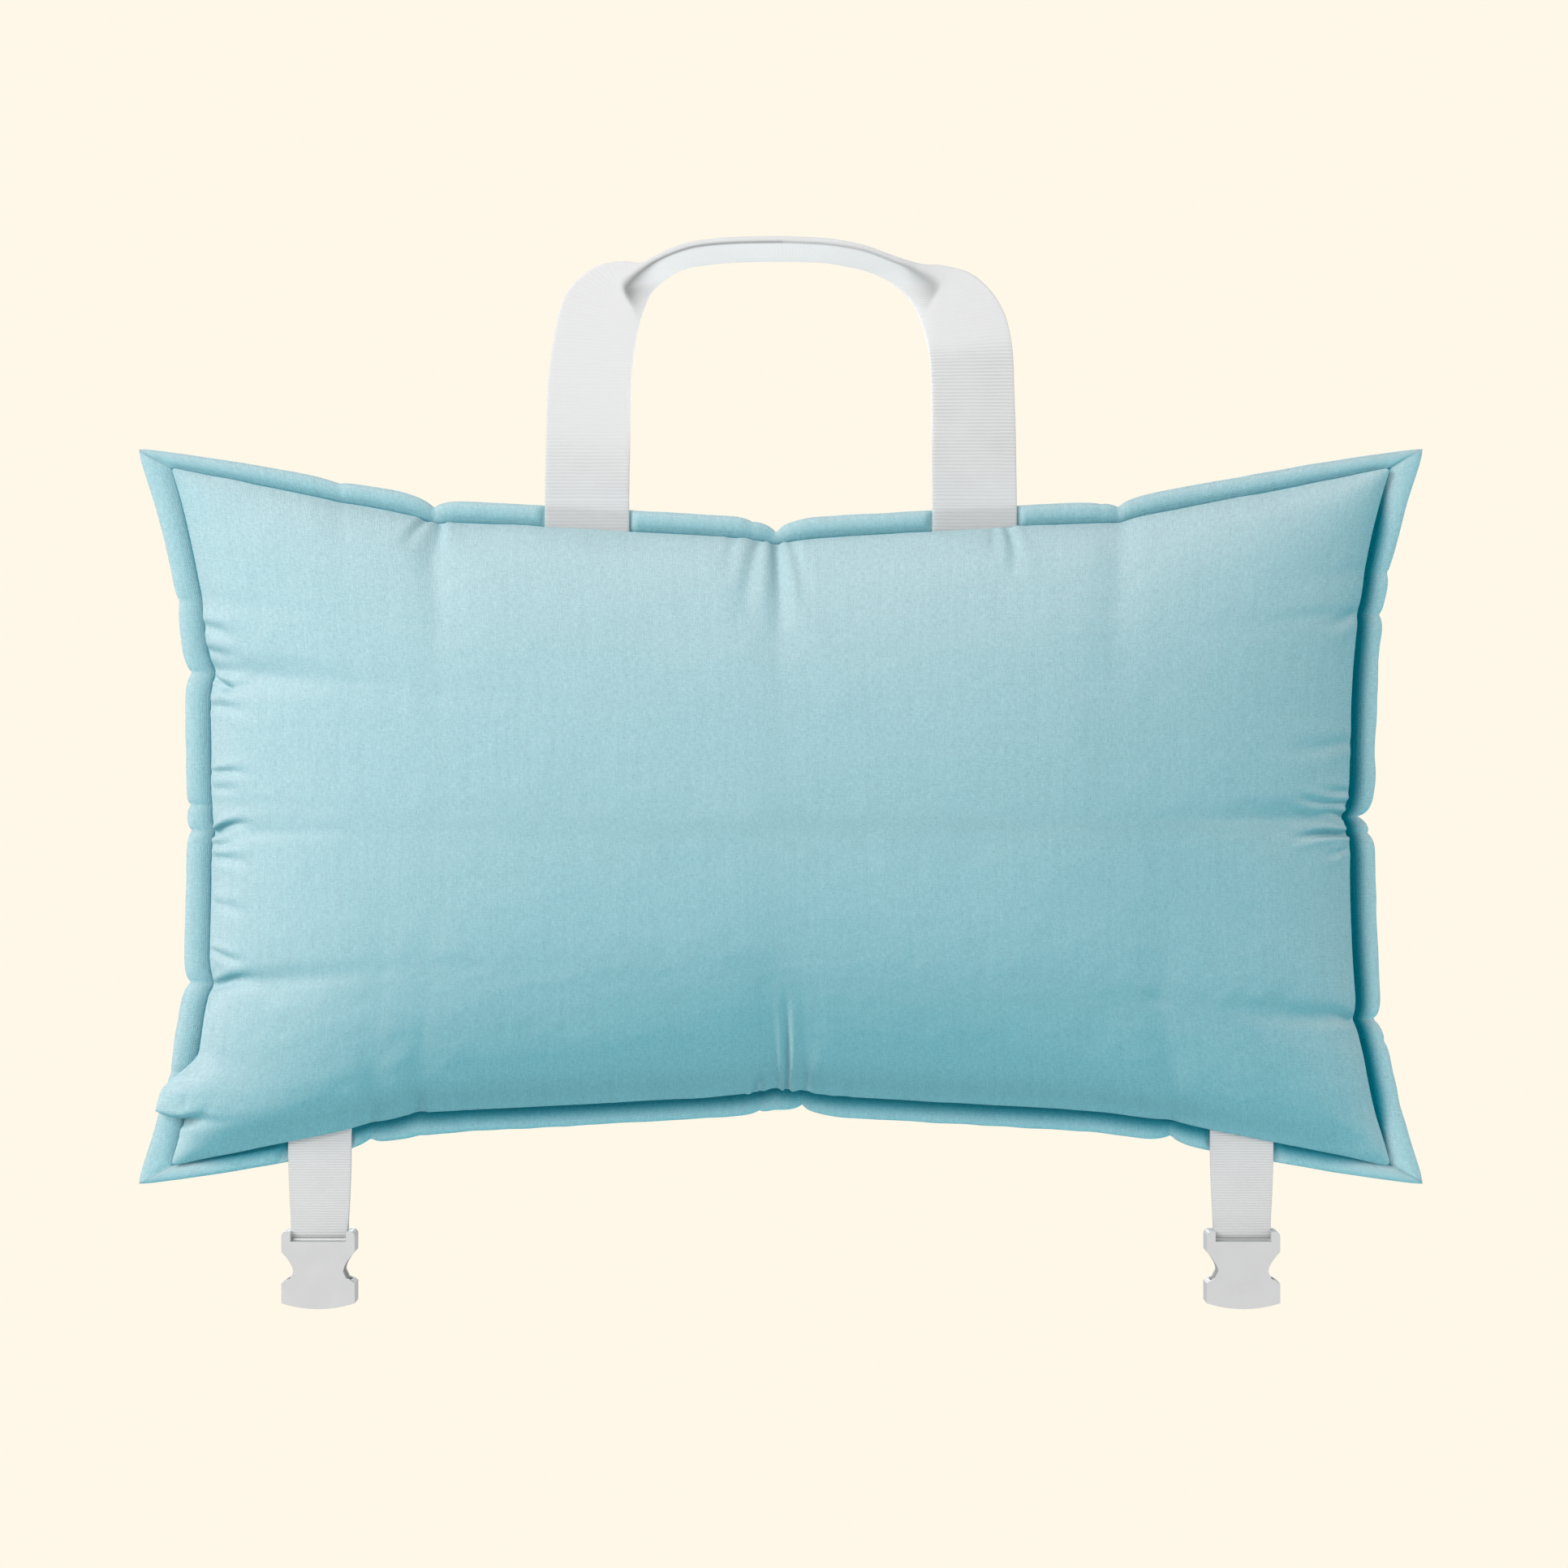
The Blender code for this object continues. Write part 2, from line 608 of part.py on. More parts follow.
def socket_outline():
    """Half of the socket's front view, from the middle of its foot up to the ear, as X and Z."""
    foot_drop = SOCKET_SIDE_END - SOCKET_BOTTOM
    depth = SOCKET_HALF_WIDTH - SOCKET_WAIST_HALF
    foot = []
    notch = []
    for step in range(SOCKET_CURVE_STEPS + 1):
        t = step / SOCKET_CURVE_STEPS
        foot.append((SOCKET_HALF_WIDTH * t, SOCKET_BOTTOM + foot_drop * t * t))
        x = SOCKET_WAIST_HALF + depth * t ** SOCKET_NOTCH_POWER
        notch.append((x, SOCKET_NOTCH_END + (SOCKET_NOTCH_TOP - SOCKET_NOTCH_END) * t))
    side = [(SOCKET_HALF_WIDTH, SOCKET_SHOULDER_END)]
    shoulder = [(SOCKET_WAIST_HALF + depth * share, z) for share, z in SOCKET_SHOULDER]
    ear_centre = (SOCKET_HALF_WIDTH - SOCKET_EAR_RADIUS, SOCKET_EAR_TOP - SOCKET_EAR_RADIUS)
    ear = arc_points(ear_centre, SOCKET_EAR_RADIUS, 0, 90, 4)
    return foot + side + shoulder + notch + ear


def make_socket(name, bend, length, collection, cutters):
    pivot = add_empty("socket_bar_" + name, (0.0, 0.0, -length), collection, bend)
    right = socket_outline()
    left = [(-x, z) for x, z in reversed(right) if x > 0]
    node = "buckle_socket_" + name
    mesh = flat_outline(node, right + left, SOCKET_THICKNESS, cutters)
    obj = add_object(node, mesh, "socket_plastic", collection, pivot)
    bevel(obj, SOCKET_EDGE, 3)

    half = SOCKET_THICKNESS / 2
    far = half + CUT_OVERSHOOT
    slot_cut = block("slot", (-SOCKET_SLOT_HALF, -far, SOCKET_BODY_TOP), (SOCKET_SLOT_HALF, far, CUT_OVERSHOOT))
    cut(obj, add_cutter("slot_" + name, slot_cut, cutters, pivot))
    cavity = block("cavity", (-CAVITY_HALF_WIDTH, -half + SOCKET_WALL, SOCKET_BOTTOM - CUT_OVERSHOOT),
                   (CAVITY_HALF_WIDTH, half - SOCKET_WALL, CAVITY_TOP))
    cut(obj, add_cutter("cavity_" + name, cavity, cutters, pivot))

    bm = bmesh.new()
    reach = SOCKET_SLOT_HALF + 0.001
    bmesh.ops.create_cone(bm, cap_ends=True, segments=12, radius1=BAR_RADIUS, radius2=BAR_RADIUS, depth=2 * reach)
    bmesh.ops.rotate(bm, matrix=Matrix.Rotation(math.radians(90), 3, "Y"), verts=bm.verts)
    bar = add_cutter("bar_" + name, mesh_from(bm, "bar"), cutters, pivot)
    join = obj.modifiers.new("Bar", "BOOLEAN")
    join.operation = "UNION"
    join.object = bar


def main():
    clear_scene()
    parts = new_collection("nursing_pillow")
    cutters = new_collection("cutters", helper=True)
    pillow = add_empty("pillow", (0.0, 0.0, 0.0), parts)
    make_covers(parts, pillow)
    make_inner_pillow(parts, pillow)
    make_flange(parts, pillow)
    make_zip(parts, pillow)
    make_slider(parts, cutters)
    make_handle(parts, pillow)
    for side in (-1.0, 1.0):
        make_strap(side, parts, cutters, pillow)


main()
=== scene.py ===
"""Looks of the flanged nursing pillow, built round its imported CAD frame."""

import json
import math

import bmesh
import bpy
import numpy as np
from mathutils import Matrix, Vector, noise


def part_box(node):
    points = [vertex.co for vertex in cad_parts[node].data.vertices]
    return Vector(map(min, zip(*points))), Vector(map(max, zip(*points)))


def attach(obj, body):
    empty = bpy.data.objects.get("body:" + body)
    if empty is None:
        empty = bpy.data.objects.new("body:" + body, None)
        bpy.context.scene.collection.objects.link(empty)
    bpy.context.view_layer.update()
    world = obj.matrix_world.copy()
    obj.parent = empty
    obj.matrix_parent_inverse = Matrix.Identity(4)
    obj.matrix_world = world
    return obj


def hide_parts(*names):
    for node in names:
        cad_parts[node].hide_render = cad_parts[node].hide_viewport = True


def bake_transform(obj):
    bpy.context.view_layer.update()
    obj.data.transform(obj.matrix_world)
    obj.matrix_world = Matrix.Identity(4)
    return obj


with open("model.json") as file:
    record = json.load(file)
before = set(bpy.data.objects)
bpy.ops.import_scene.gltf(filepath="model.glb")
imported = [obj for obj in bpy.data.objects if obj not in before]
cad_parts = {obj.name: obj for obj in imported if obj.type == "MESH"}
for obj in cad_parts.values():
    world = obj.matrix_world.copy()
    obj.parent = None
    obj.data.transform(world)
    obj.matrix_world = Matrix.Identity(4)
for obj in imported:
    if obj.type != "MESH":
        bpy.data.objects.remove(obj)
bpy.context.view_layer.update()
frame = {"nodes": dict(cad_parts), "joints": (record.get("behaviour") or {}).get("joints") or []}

# ---- sizes that come from the CAD frame ----
cover_low, cover_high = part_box("front_cover")
CORNER_X = cover_high.x
CORNER_Z = (cover_high.z - cover_low.z) / 2
CROWN_Y = -cover_low.y
MIDDLE_Z = (cover_high.z + cover_low.z) / 2
JOINTS = {joint["name"]: Vector(joint["pos_m"]) for joint in frame["joints"]}
end_low, end_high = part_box("handle_end_left")
HANDLE_LEG_X = -(end_low.x + end_high.x) / 2
HANDLE_HALF_WIDTH = (end_high.x - end_low.x) / 2
HANDLE_END_LOW = end_low.z - MIDDLE_Z
WEBBING_THICKNESS = end_high.y - end_low.y
strap_low, strap_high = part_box("strap_end_left")
STRAP_X = -(strap_low.x + strap_high.x) / 2
STRAP_TOP_HALF = (strap_high.x - strap_low.x) / 2
STRAP_END_HIGH = strap_high.z - MIDDLE_Z
STRAP_Y = (strap_low.y + strap_high.y) / 2
BAR_Z = JOINTS["left_socket_tilt"].z - MIDDLE_Z
ARC_AXIS_Y = JOINTS["zip_run"].y
ZIP_RADIUS = CROWN_Y - ARC_AXIS_Y

# ---- shape of the sewn outline ----
SEAM_MIDDLE_X = 0.2620
SEAM_MIDDLE_Z = 0.1266
FLANGE_LONG_WIDTH = 0.0113
FLANGE_SHORT_WIDTH = 0.0140
FLANGE_CORNER_X = 0.0170
FLANGE_CORNER_Z = 0.0095
FLANGE_PUFF = 0.0042
SEAM_SWELL = 0.0014  # how far the seam bows out between two pinches
RIM_HEIGHT = 0.0082  # how far the panel's rolled edge stands in front of the border's middle
CORNER_RIM_HEIGHT = 0.0046
BACK_RIM_SHARE = 0.85
PINCH_DIP = 0.0034  # how much lower the rolled edge is at a full pinch
FULL_PINCH = 0.0070  # pull and nick together from which a pinch counts as full

# Where the border is pinched, placed from the photograph: place along the side, pull of the seam,
# depth of the nick in the border's edge, and how far the nick spreads.
PINCHES = {
    "top": (
        (-0.204, 0.0006, 0.0015, 0.0050),
        (-0.161, 0.0032, 0.0040, 0.0052),
        (-0.002, 0.0022, 0.0056, 0.0050),
        (-0.013, 0.0002, 0.0010, 0.0026),
        (0.157, 0.0020, 0.0036, 0.0052),
        (0.149, 0.0000, 0.0008, 0.0024),
    ),
    "bottom": (
        (-0.190, 0.0012, 0.0036, 0.0050),
        (-0.168, 0.0030, 0.0004, 0.0080),
        (0.010, 0.0012, 0.0042, 0.0046),
        (-0.010, 0.0000, 0.0016, 0.0024),
        (-0.003, 0.0026, 0.0004, 0.0060),
        (0.181, 0.0014, 0.0034, 0.0045),
    ),
    "left": (
        (0.100, 0.0008, 0.0014, 0.0040),
        (0.067, 0.0034, 0.0024, 0.0040),
        (0.0055, 0.0004, 0.0020, 0.0022),
        (-0.0065, 0.0020, 0.0016, 0.0022),
        (-0.077, 0.0036, 0.0026, 0.0036),
        (-0.118, 0.0006, 0.0010, 0.0050),
    ),
    "right": (
        (0.113, 0.0002, 0.0018, 0.0030),
        (0.094, 0.0010, 0.0022, 0.0026),
        (0.0000, 0.0040, 0.0062, 0.0036),
        (-0.0075, 0.0006, 0.0022, 0.0022),
        (-0.094, 0.0026, 0.0040, 0.0036),
        (-0.104, 0.0002, 0.0014, 0.0020),
    ),
}
FOLD_LOW, FOLD_HIGH, FOLD_REACH = -0.1405, -0.1080, 0.0138  # cloth hanging over the left border
GATHER = {"top": 0.36, "bottom": 0.34, "left": 0.34, "right": 0.40}


def smooth(value):
    value = np.clip(value, 0.0, 1.0)
    return value * value * (3.0 - 2.0 * value)


def swell(place, pinches, length):
    """Outward bow of the seam: none at the corners and the pinches, full between them."""
    value = np.full_like(place, SEAM_SWELL) * (1.0 - np.abs(place / length) ** 6)
    for centre, pull, _, spread in pinches:
        value -= pull * np.exp(-np.abs(place - centre) / (1.6 * spread))
    return value


def rim_height(side, place):
    """How far the rolled edge of a panel stands off the border: less at the corners and the pinches."""
    length = CORNER_X if side in ("top", "bottom") else CORNER_Z
    near_corner = smooth((length - np.abs(place)) / 0.075)
    value = CORNER_RIM_HEIGHT + (RIM_HEIGHT - CORNER_RIM_HEIGHT) * near_corner
    for centre, pull, depth, spread in PINCHES[side]:
        share = min(1.0, (pull + depth) / FULL_PINCH)
        value -= PINCH_DIP * share * np.exp(-((place - centre) / (1.3 * spread)) ** 2)
    return value


def overhang(place):
    """How far the front panel's left edge hangs out over the border, growing downwards to a blunt end."""
    t = (FOLD_HIGH - np.asarray(place, float)) / (FOLD_HIGH - FOLD_LOW)
    return FOLD_REACH * smooth(t / 0.62) * smooth((1.0 - t) / 0.14)


def nicks(place, pinches):
    value = np.zeros_like(place)
    for centre, _, depth, spread in pinches:
        away = place - centre
        narrow = np.where(away > 0, 0.46, 0.72) * spread
        wide = np.exp(-((away / (2.1 * spread)) ** 2))
        value += depth * (0.68 * np.exp(-np.abs(away) / narrow) + 0.32 * wide)
    return value


def seam_point(side, place):
    """X and Z of the seam at places along a side, from the middle of the pillow."""
    place = np.asarray(place, float)
    if side in ("top", "bottom"):
        t = np.abs(place) / CORNER_X
        rise = 0.45 * t + 0.55 * np.maximum(0.0, 2.0 * t - 1.0) ** 1.3
        out = SEAM_MIDDLE_Z + (CORNER_Z - SEAM_MIDDLE_Z) * rise + swell(place, PINCHES[side], CORNER_X)
        return place, out if side == "top" else -out
    t = np.abs(place) / CORNER_Z
    out = SEAM_MIDDLE_X + (CORNER_X - SEAM_MIDDLE_X) * t**3 + swell(place, PINCHES[side], CORNER_Z)
    return out if side == "right" else -out, place


def gathered(side, fractions):
    """Places along a side, from -1 to 1, with the cloth gathered at the pinches."""
    length = CORNER_X if side in ("top", "bottom") else CORNER_Z
    fine = np.linspace(-1.0, 1.0, 2001)
    density = np.ones_like(fine)
    for centre, pull, depth, _ in PINCHES[side]:
        strength = GATHER[side] * min(1.0, (pull + depth) / FULL_PINCH)
        density -= strength * np.exp(-(((fine * length - centre) / 0.011) ** 2))
    place = np.concatenate(([0.0], np.cumsum((density[1:] + density[:-1]) / 2)))
    place = place / place[-1] * 2.0 - 1.0
    return np.interp(fractions, fine, place) * length


# ---- meshes ----
def new_mesh_object(name, vertices, faces):
    mesh = bpy.data.meshes.new(name)
    mesh.from_pydata([tuple(v) for v in vertices], [], faces)
    mesh.validate()
    obj = bpy.data.objects.new(name, mesh)
    bpy.context.scene.collection.objects.link(obj)
    mesh.shade_smooth()
    return obj


def grid_faces(rows, columns, closed_rows=False, closed_columns=False, flipped=False):
    """Quads of a grid of rows times columns of vertices."""
    faces = []
    for r in range(rows if closed_rows else rows - 1):
        for c in range(columns if closed_columns else columns - 1):
            a = r * columns + c
            b = r * columns + (c + 1) % columns
            d = ((r + 1) % rows) * columns + c
            e = ((r + 1) % rows) * columns + (c + 1) % columns
            faces.append((a, d, e, b) if flipped else (a, b, e, d))
    return faces


def set_uv(obj, points, name="Cloth"):
    """One UV for each vertex: metres of cloth, or how much painted shade it gets in a seam or fold."""
    layer = obj.data.uv_layers.new(name=name)
    index = np.zeros(len(obj.data.loops), np.int32)
    obj.data.loops.foreach_get("vertex_index", index)
    layer.data.foreach_set("uv", np.asarray(points, np.float32)[index].ravel())


def applied(obj):
    """Applies an object's modifiers to its mesh."""
    graph = bpy.context.evaluated_depsgraph_get()
    mesh = bpy.data.meshes.new_from_object(obj.evaluated_get(graph))
    old = obj.data
    obj.modifiers.clear()
    obj.data = mesh
    bpy.data.meshes.remove(old)


def coordinates(obj):
    co = np.zeros(len(obj.data.vertices) * 3)
    obj.data.vertices.foreach_get("co", co)
    return co.reshape(-1, 3)


def set_coordinates(obj, co):
    obj.data.vertices.foreach_set("co", np.asarray(co, float).ravel())
    obj.data.update()


def normals_of(obj):
    values = np.zeros(len(obj.data.vertices) * 3)
    obj.data.vertices.foreach_get("normal", values)
    return values.reshape(-1, 3)


# ---- cushion panels: cut flat, sewn into the pulled-in outline, and blown out by pressure ----
COLUMNS = 141
ROWS = 81
CUT_WIDTH = 0.5800
CUT_HEIGHT = 0.3340
SIM_FRAMES = 34


def panel_start(side):
    """Start of a panel: four seam curves filled in, and a dome."""
    u = np.linspace(-1.0, 1.0, COLUMNS)
    v = np.linspace(-1.0, 1.0, ROWS)
    top, bottom, left, right = (
        np.stack(seam_point(edge, gathered(edge, places)), axis=1)
        for edge, places in (("top", u), ("bottom", u), ("left", v), ("right", v))
    )
    left[0] = bottom[0]
    left[-1] = top[0]
    right[0] = bottom[-1]
    right[-1] = top[-1]
    s = ((u + 1) / 2)[None, :, None]
    t = ((v + 1) / 2)[:, None, None]
    flat = (1 - t) * bottom[None] + t * top[None] + (1 - s) * left[:, None] + s * right[:, None]
    flat -= (1 - s) * (1 - t) * bottom[0] + s * (1 - t) * bottom[-1] + (1 - s) * t * top[0] + s * t * top[-1]
    dome = ((1 - np.abs(u)[None, :] ** 2.4) * (1 - np.abs(v)[:, None] ** 2.2)) ** 0.55
    share = 1.0 if side < 0 else BACK_RIM_SHARE
    s, t = s[..., 0], t[..., 0]
    rim = (1 - t) * rim_height("bottom", bottom[:, 0])[None] + t * rim_height("top", top[:, 0])[None]
    rim = rim + (1 - s) * rim_height("left", left[:, 1])[:, None]
    rim = rim + s * rim_height("right", right[:, 1])[:, None]
    rim = (rim - CORNER_RIM_HEIGHT) * share
    y = side * (rim + (CROWN_Y - rim) * dome)
    points = np.stack([flat[..., 0], y, flat[..., 1] + MIDDLE_Z], axis=2).reshape(-1, 3)
    cloth = np.zeros((ROWS, COLUMNS, 2))
    cloth[..., 0] = u[None, :] * CUT_WIDTH / 2
    cloth[..., 1] = v[:, None] * CUT_HEIGHT / 2
    return points, cloth.reshape(-1, 2)


def simulate(obj, cloth_points):
    """Cloth with the flat cut as its rest shape, held along its seam and pushed out by pressure."""
    border = [i for i in range(ROWS * COLUMNS)
              if i % COLUMNS in (0, COLUMNS - 1) or i // COLUMNS in (0, ROWS - 1)]
    group = obj.vertex_groups.new(name="seam")
    group.add(border, 1.0, "REPLACE")
    obj.shape_key_add(name="Basis")
    flat = obj.shape_key_add(name="flat_cut")
    flat_points = np.stack([cloth_points[:, 0], np.zeros(len(cloth_points)), cloth_points[:, 1]], axis=1)
    flat.data.foreach_set("co", flat_points.ravel())
    cloth = obj.modifiers.new("Cloth", "CLOTH")
    settings = cloth.settings
    settings.quality = 7
    settings.mass = 0.25
    settings.tension_stiffness = 28.0
    settings.compression_stiffness = 14.0
    settings.shear_stiffness = 8.0
    settings.bending_stiffness = 0.35
    settings.tension_damping = 18.0
    settings.compression_damping = 18.0
    settings.shear_damping = 12.0
    settings.bending_damping = 2.0
    settings.air_damping = 4.0
    settings.use_pressure = True
    settings.uniform_pressure_force = 7.0
    settings.effector_weights.gravity = 0.0
    settings.vertex_group_mass = "seam"
    settings.pin_stiffness = 1.0
    settings.rest_shape_key = flat
    cloth.collision_settings.use_collision = False
    cloth.collision_settings.use_self_collision = False
    scene = bpy.context.scene
    cloth.point_cache.frame_start = 1
    cloth.point_cache.frame_end = SIM_FRAMES
    for step in range(1, SIM_FRAMES + 1):
        scene.frame_set(step)
    graph = bpy.context.evaluated_depsgraph_get()
    result = obj.evaluated_get(graph)
    co = np.zeros(len(result.data.vertices) * 3)
    result.data.vertices.foreach_get("co", co)
    co = co.reshape(-1, 3)
    obj.modifiers.clear()
    obj.shape_key_clear()
    obj.vertex_groups.clear()
    scene.frame_set(1)
    return co


ROLL = ((0.86, -0.0001), (0.68, 0.0005), (0.50, 0.0017), (0.34, 0.0036), (0.22, 0.0062), (0.15, 0.0100))
# How much painted shade each rolled row of a panel's edge gets, darkest where it turns in to the border.
ROLL_PAINTED_SHADE = (0.0, 0.10, 0.45, 0.9, 1.0, 1.0)
ROLL_STEP = 0.0016  # cloth from one rolled row to the next
SLOT_HALF = 0.0050  # half height of the zip's opening
SLOT_CLOSED = 0.0004  # the same past its ends
SLOT_END = 0.1490  # half length of the opening
ZIP_ROW = ROWS // 2


def zip_face(x):
    """Depth of the cover's face on the zip's arc."""
    return ARC_AXIS_Y + np.sqrt(ZIP_RADIUS**2 - np.minimum(np.abs(x), 0.4) ** 2)


def slot_half(x):
    """Half height of the zip's opening at places across the back; past its ends the halves meet in a seam."""
    t = np.clip((SLOT_END - np.abs(x)) / 0.006, 0.0, 1.0)
    return SLOT_CLOSED + (SLOT_HALF - SLOT_CLOSED) * np.sqrt(1.0 - (1.0 - t) ** 2)


def open_for_zip(points, upwards):
    """One half of the back panel, its inner rows lifted off the zip and laid on its arc."""
    grid = points.reshape(ROWS, COLUMNS, 3)
    grid = (grid[ZIP_ROW:] if upwards > 0 else grid[: ZIP_ROW + 1][::-1]).copy()
    flat_z = grid[0, :, 2].copy()
    rise = np.abs(grid[..., 2] - flat_z[None])
    target = MIDDLE_Z + upwards * slot_half(grid[0, :, 0])[None]
    near = 1.0 - smooth(rise / 0.045)
    grid[..., 2] += (target - flat_z[None]) * near
    along = 1.0 - smooth((np.abs(grid[..., 0]) - 0.152) / 0.045)
    hold = along * (1.0 - smooth((rise - 0.006) / 0.050))
    grid[..., 1] += (zip_face(grid[..., 0]) - grid[..., 1]) * hold
    seam_dip = (1.0 - along[0]) * 0.0012
    grid[0, :, 1] -= seam_dip
    return grid


def rolled(chain):
    """Rows that roll a panel's sewn edge in behind it, down to the border."""
    middle = np.array([0.0, 0.0, MIDDLE_Z])
    inward = middle - chain
    inward[:, 1] = 0.0
    inward /= np.linalg.norm(inward, axis=1)[:, None]
    rows = []
    for share, in_by in ROLL:
        row = chain + inward * in_by
        row[:, 1] = chain[:, 1] * share
        rows.append(row)
    return rows


class Patch:
    """Vertices, faces, cloth places and painted seam shade of one cut panel, grown row by row."""

    def __init__(self, grid, cloth):
        self.rows, self.columns = grid.shape[:2]
        self.points = [grid.reshape(-1, 3)]
        self.cloth = [cloth.reshape(-1, 2)]
        self.shade = [np.zeros(grid.shape[0] * grid.shape[1])]
        self.faces = grid_faces(self.rows, self.columns)
        self.count = self.rows * self.columns

    def edge(self, sides):
        """Vertices round the named sides of the grid, in order."""
        r, c = self.rows, self.columns
        walks = {
            "low": list(range(c)),
            "right": [k * c + c - 1 for k in range(r)],
            "high": [(r - 1) * c + k for k in range(c - 1, -1, -1)],
            "left": [k * c for k in range(r - 1, -1, -1)],
        }
        chain = []
        for side in sides:
            chain += [v for v in walks[side] if v not in chain[-1:]]
        return chain[:-1] if len(sides) == 4 else chain

    def grow(self, chain, rows, shades, cloth_step, closed):
        """Adds rows of vertices outside a chain of the grid's own, each joined to the one before."""
        outward = self.cloth[0][chain] - self.cloth[0].mean(axis=0)
        outward /= np.linalg.norm(outward, axis=1)[:, None]
        previous = chain
        size = len(chain)
        for number, row in enumerate(rows):
            current = list(range(self.count, self.count + size))
            self.count += size
            self.points.append(row)
            self.cloth.append(self.cloth[0][chain] + outward * cloth_step * (number + 1))
            self.shade.append(np.full(size, shades[number]))
            for k in range(size if closed else size - 1):
                n = (k + 1) % size
                self.faces.append((previous[k], current[k], current[n], previous[n]))
            previous = current

    def build(self, name, side):
        obj = new_mesh_object(name, np.vstack(self.points), self.faces)
        set_uv(obj, np.vstack(self.cloth))
        shade = np.concatenate(self.shade)
        set_uv(obj, np.stack([shade, np.zeros_like(shade)], axis=1), "Seam")
        face_outwards(obj, side)
        return obj


def face_outwards(obj, side):
    """Turns all faces one way, towards -Y for side -1 and +Y for side 1."""
    shape = bmesh.new()
    shape.from_mesh(obj.data)
    bmesh.ops.recalc_face_normals(shape, faces=shape.faces)
    facing = sum(face.normal.y * face.calc_area() for face in shape.faces)
    if facing * side < 0:
        bmesh.ops.reverse_faces(shape, faces=shape.faces)
    shape.to_mesh(obj.data)
    shape.free()
    obj.data.shade_smooth()


def blown_panel(name, side):
    """Points of a panel after the simulation, and the cloth place of each."""
    points, cloth_points = panel_start(side)
    obj = new_mesh_object(name, points, grid_faces(ROWS, COLUMNS, flipped=side > 0))
    points = simulate(obj, cloth_points)
    bpy.data.objects.remove(obj)
    height = np.abs(points[:, 1]).max()
    points[:, 1] *= 1.0 + (CROWN_Y / height - 1.0) * smooth(np.abs(points[:, 1]) / CROWN_Y)
    return settled(points), cloth_points


def from_seams(points):
    """Distances of points in from the left, right, bottom and top seams."""
    x = np.clip(points[:, 0], -CORNER_X, CORNER_X)
    z = np.clip(points[:, 2] - MIDDLE_Z, -CORNER_Z, CORNER_Z)
    left = points[:, 0] - seam_point("left", z)[0]
    right = seam_point("right", z)[0] - points[:, 0]
    bottom = points[:, 2] - MIDDLE_Z - seam_point("bottom", x)[1]
    top = seam_point("top", x)[1] - points[:, 2] + MIDDLE_Z
    return left, right, bottom, top


SEAM_PULL = 0.85  # share of what billows past a seam that is pulled back


def settled(points):
    """Keeps the blown cloth from billowing past its seams, and lays it flatter beside them."""
    points = points.copy()
    left, right, bottom, top = from_seams(points)
    for axis, pull, inside in ((0, -SEAM_PULL, left), (0, SEAM_PULL, right),
                               (2, -SEAM_PULL, bottom), (2, SEAM_PULL, top)):
        points[:, axis] += pull * np.minimum(inside, 0.0)
    depth = np.abs(points[:, 1])
    for inside, share in ((bottom, 0.95), (top, 0.20), (left, 0.15), (right, 0.15)):
        near = np.exp(-((np.maximum(inside, 0.0) / 0.0075) ** 2)) * smooth(np.maximum(inside, 0.0) / 0.002)
        depth -= np.maximum(depth - RIM_HEIGHT, 0.0) * share * near
    points[:, 1] = np.sign(points[:, 1]) * depth
    return points


def hang_over(points):
    """Lets the front panel's cloth hang out over the left border, between FOLD_LOW and FOLD_HIGH."""
    points = points.copy()
    left = np.maximum(from_seams(points)[0], 0.0)
    share = np.exp(-((left / 0.0125) ** 1.3)) * smooth((0.0 - points[:, 0]) / 0.05)
    reach = overhang(points[:, 2] - MIDDLE_Z)
    points[:, 0] -= reach * share
    points[:, 1] -= 0.30 * reach * share * smooth(-points[:, 1] / 0.006)
    return points


def make_front(points, cloth_points):
    patch = Patch(points.reshape(ROWS, COLUMNS, 3), cloth_points.reshape(ROWS, COLUMNS, 2))
    chain = patch.edge(("low", "right", "high", "left"))
    patch.grow(chain, rolled(points[chain]), ROLL_PAINTED_SHADE, ROLL_STEP, True)
    return patch.build("front_panel", -1)


def make_back_half(name, points, cloth_points, upwards):
    grid = open_for_zip(points, upwards)
    cloth = cloth_points.reshape(ROWS, COLUMNS, 2)
    cloth = cloth[ZIP_ROW:] if upwards > 0 else cloth[: ZIP_ROW + 1][::-1]
    patch = Patch(grid, cloth)
    chain = patch.edge(("right", "high", "left"))
    patch.grow(chain, rolled(patch.points[0][chain]), ROLL_PAINTED_SHADE, ROLL_STEP, False)
    chain = patch.edge(("low",))
    edge = patch.points[0][chain]
    rows = []
    for depth, back_by in ((0.0006, -0.0003), (0.0013, -0.0002), (0.0019, 0.0005), (0.0023, 0.0020)):
        row = edge.copy()
        row[:, 1] -= depth
        row[:, 2] += upwards * back_by
        rows.append(row)
    # The rows turning into the zip's slot get painted shade, darker further in.
    patch.grow(chain, rows, (0.05, 0.25, 0.5, 0.7), 0.0008, False)
    return patch.build(name, 1)


def refine(obj, levels):
    subdivision = obj.modifiers.new("Smooth", "SUBSURF")
    subdivision.levels = levels
    subdivision.render_levels = levels
    subdivision.boundary_smooth = "PRESERVE_CORNERS"
    applied(obj)
    obj.data.shade_smooth()
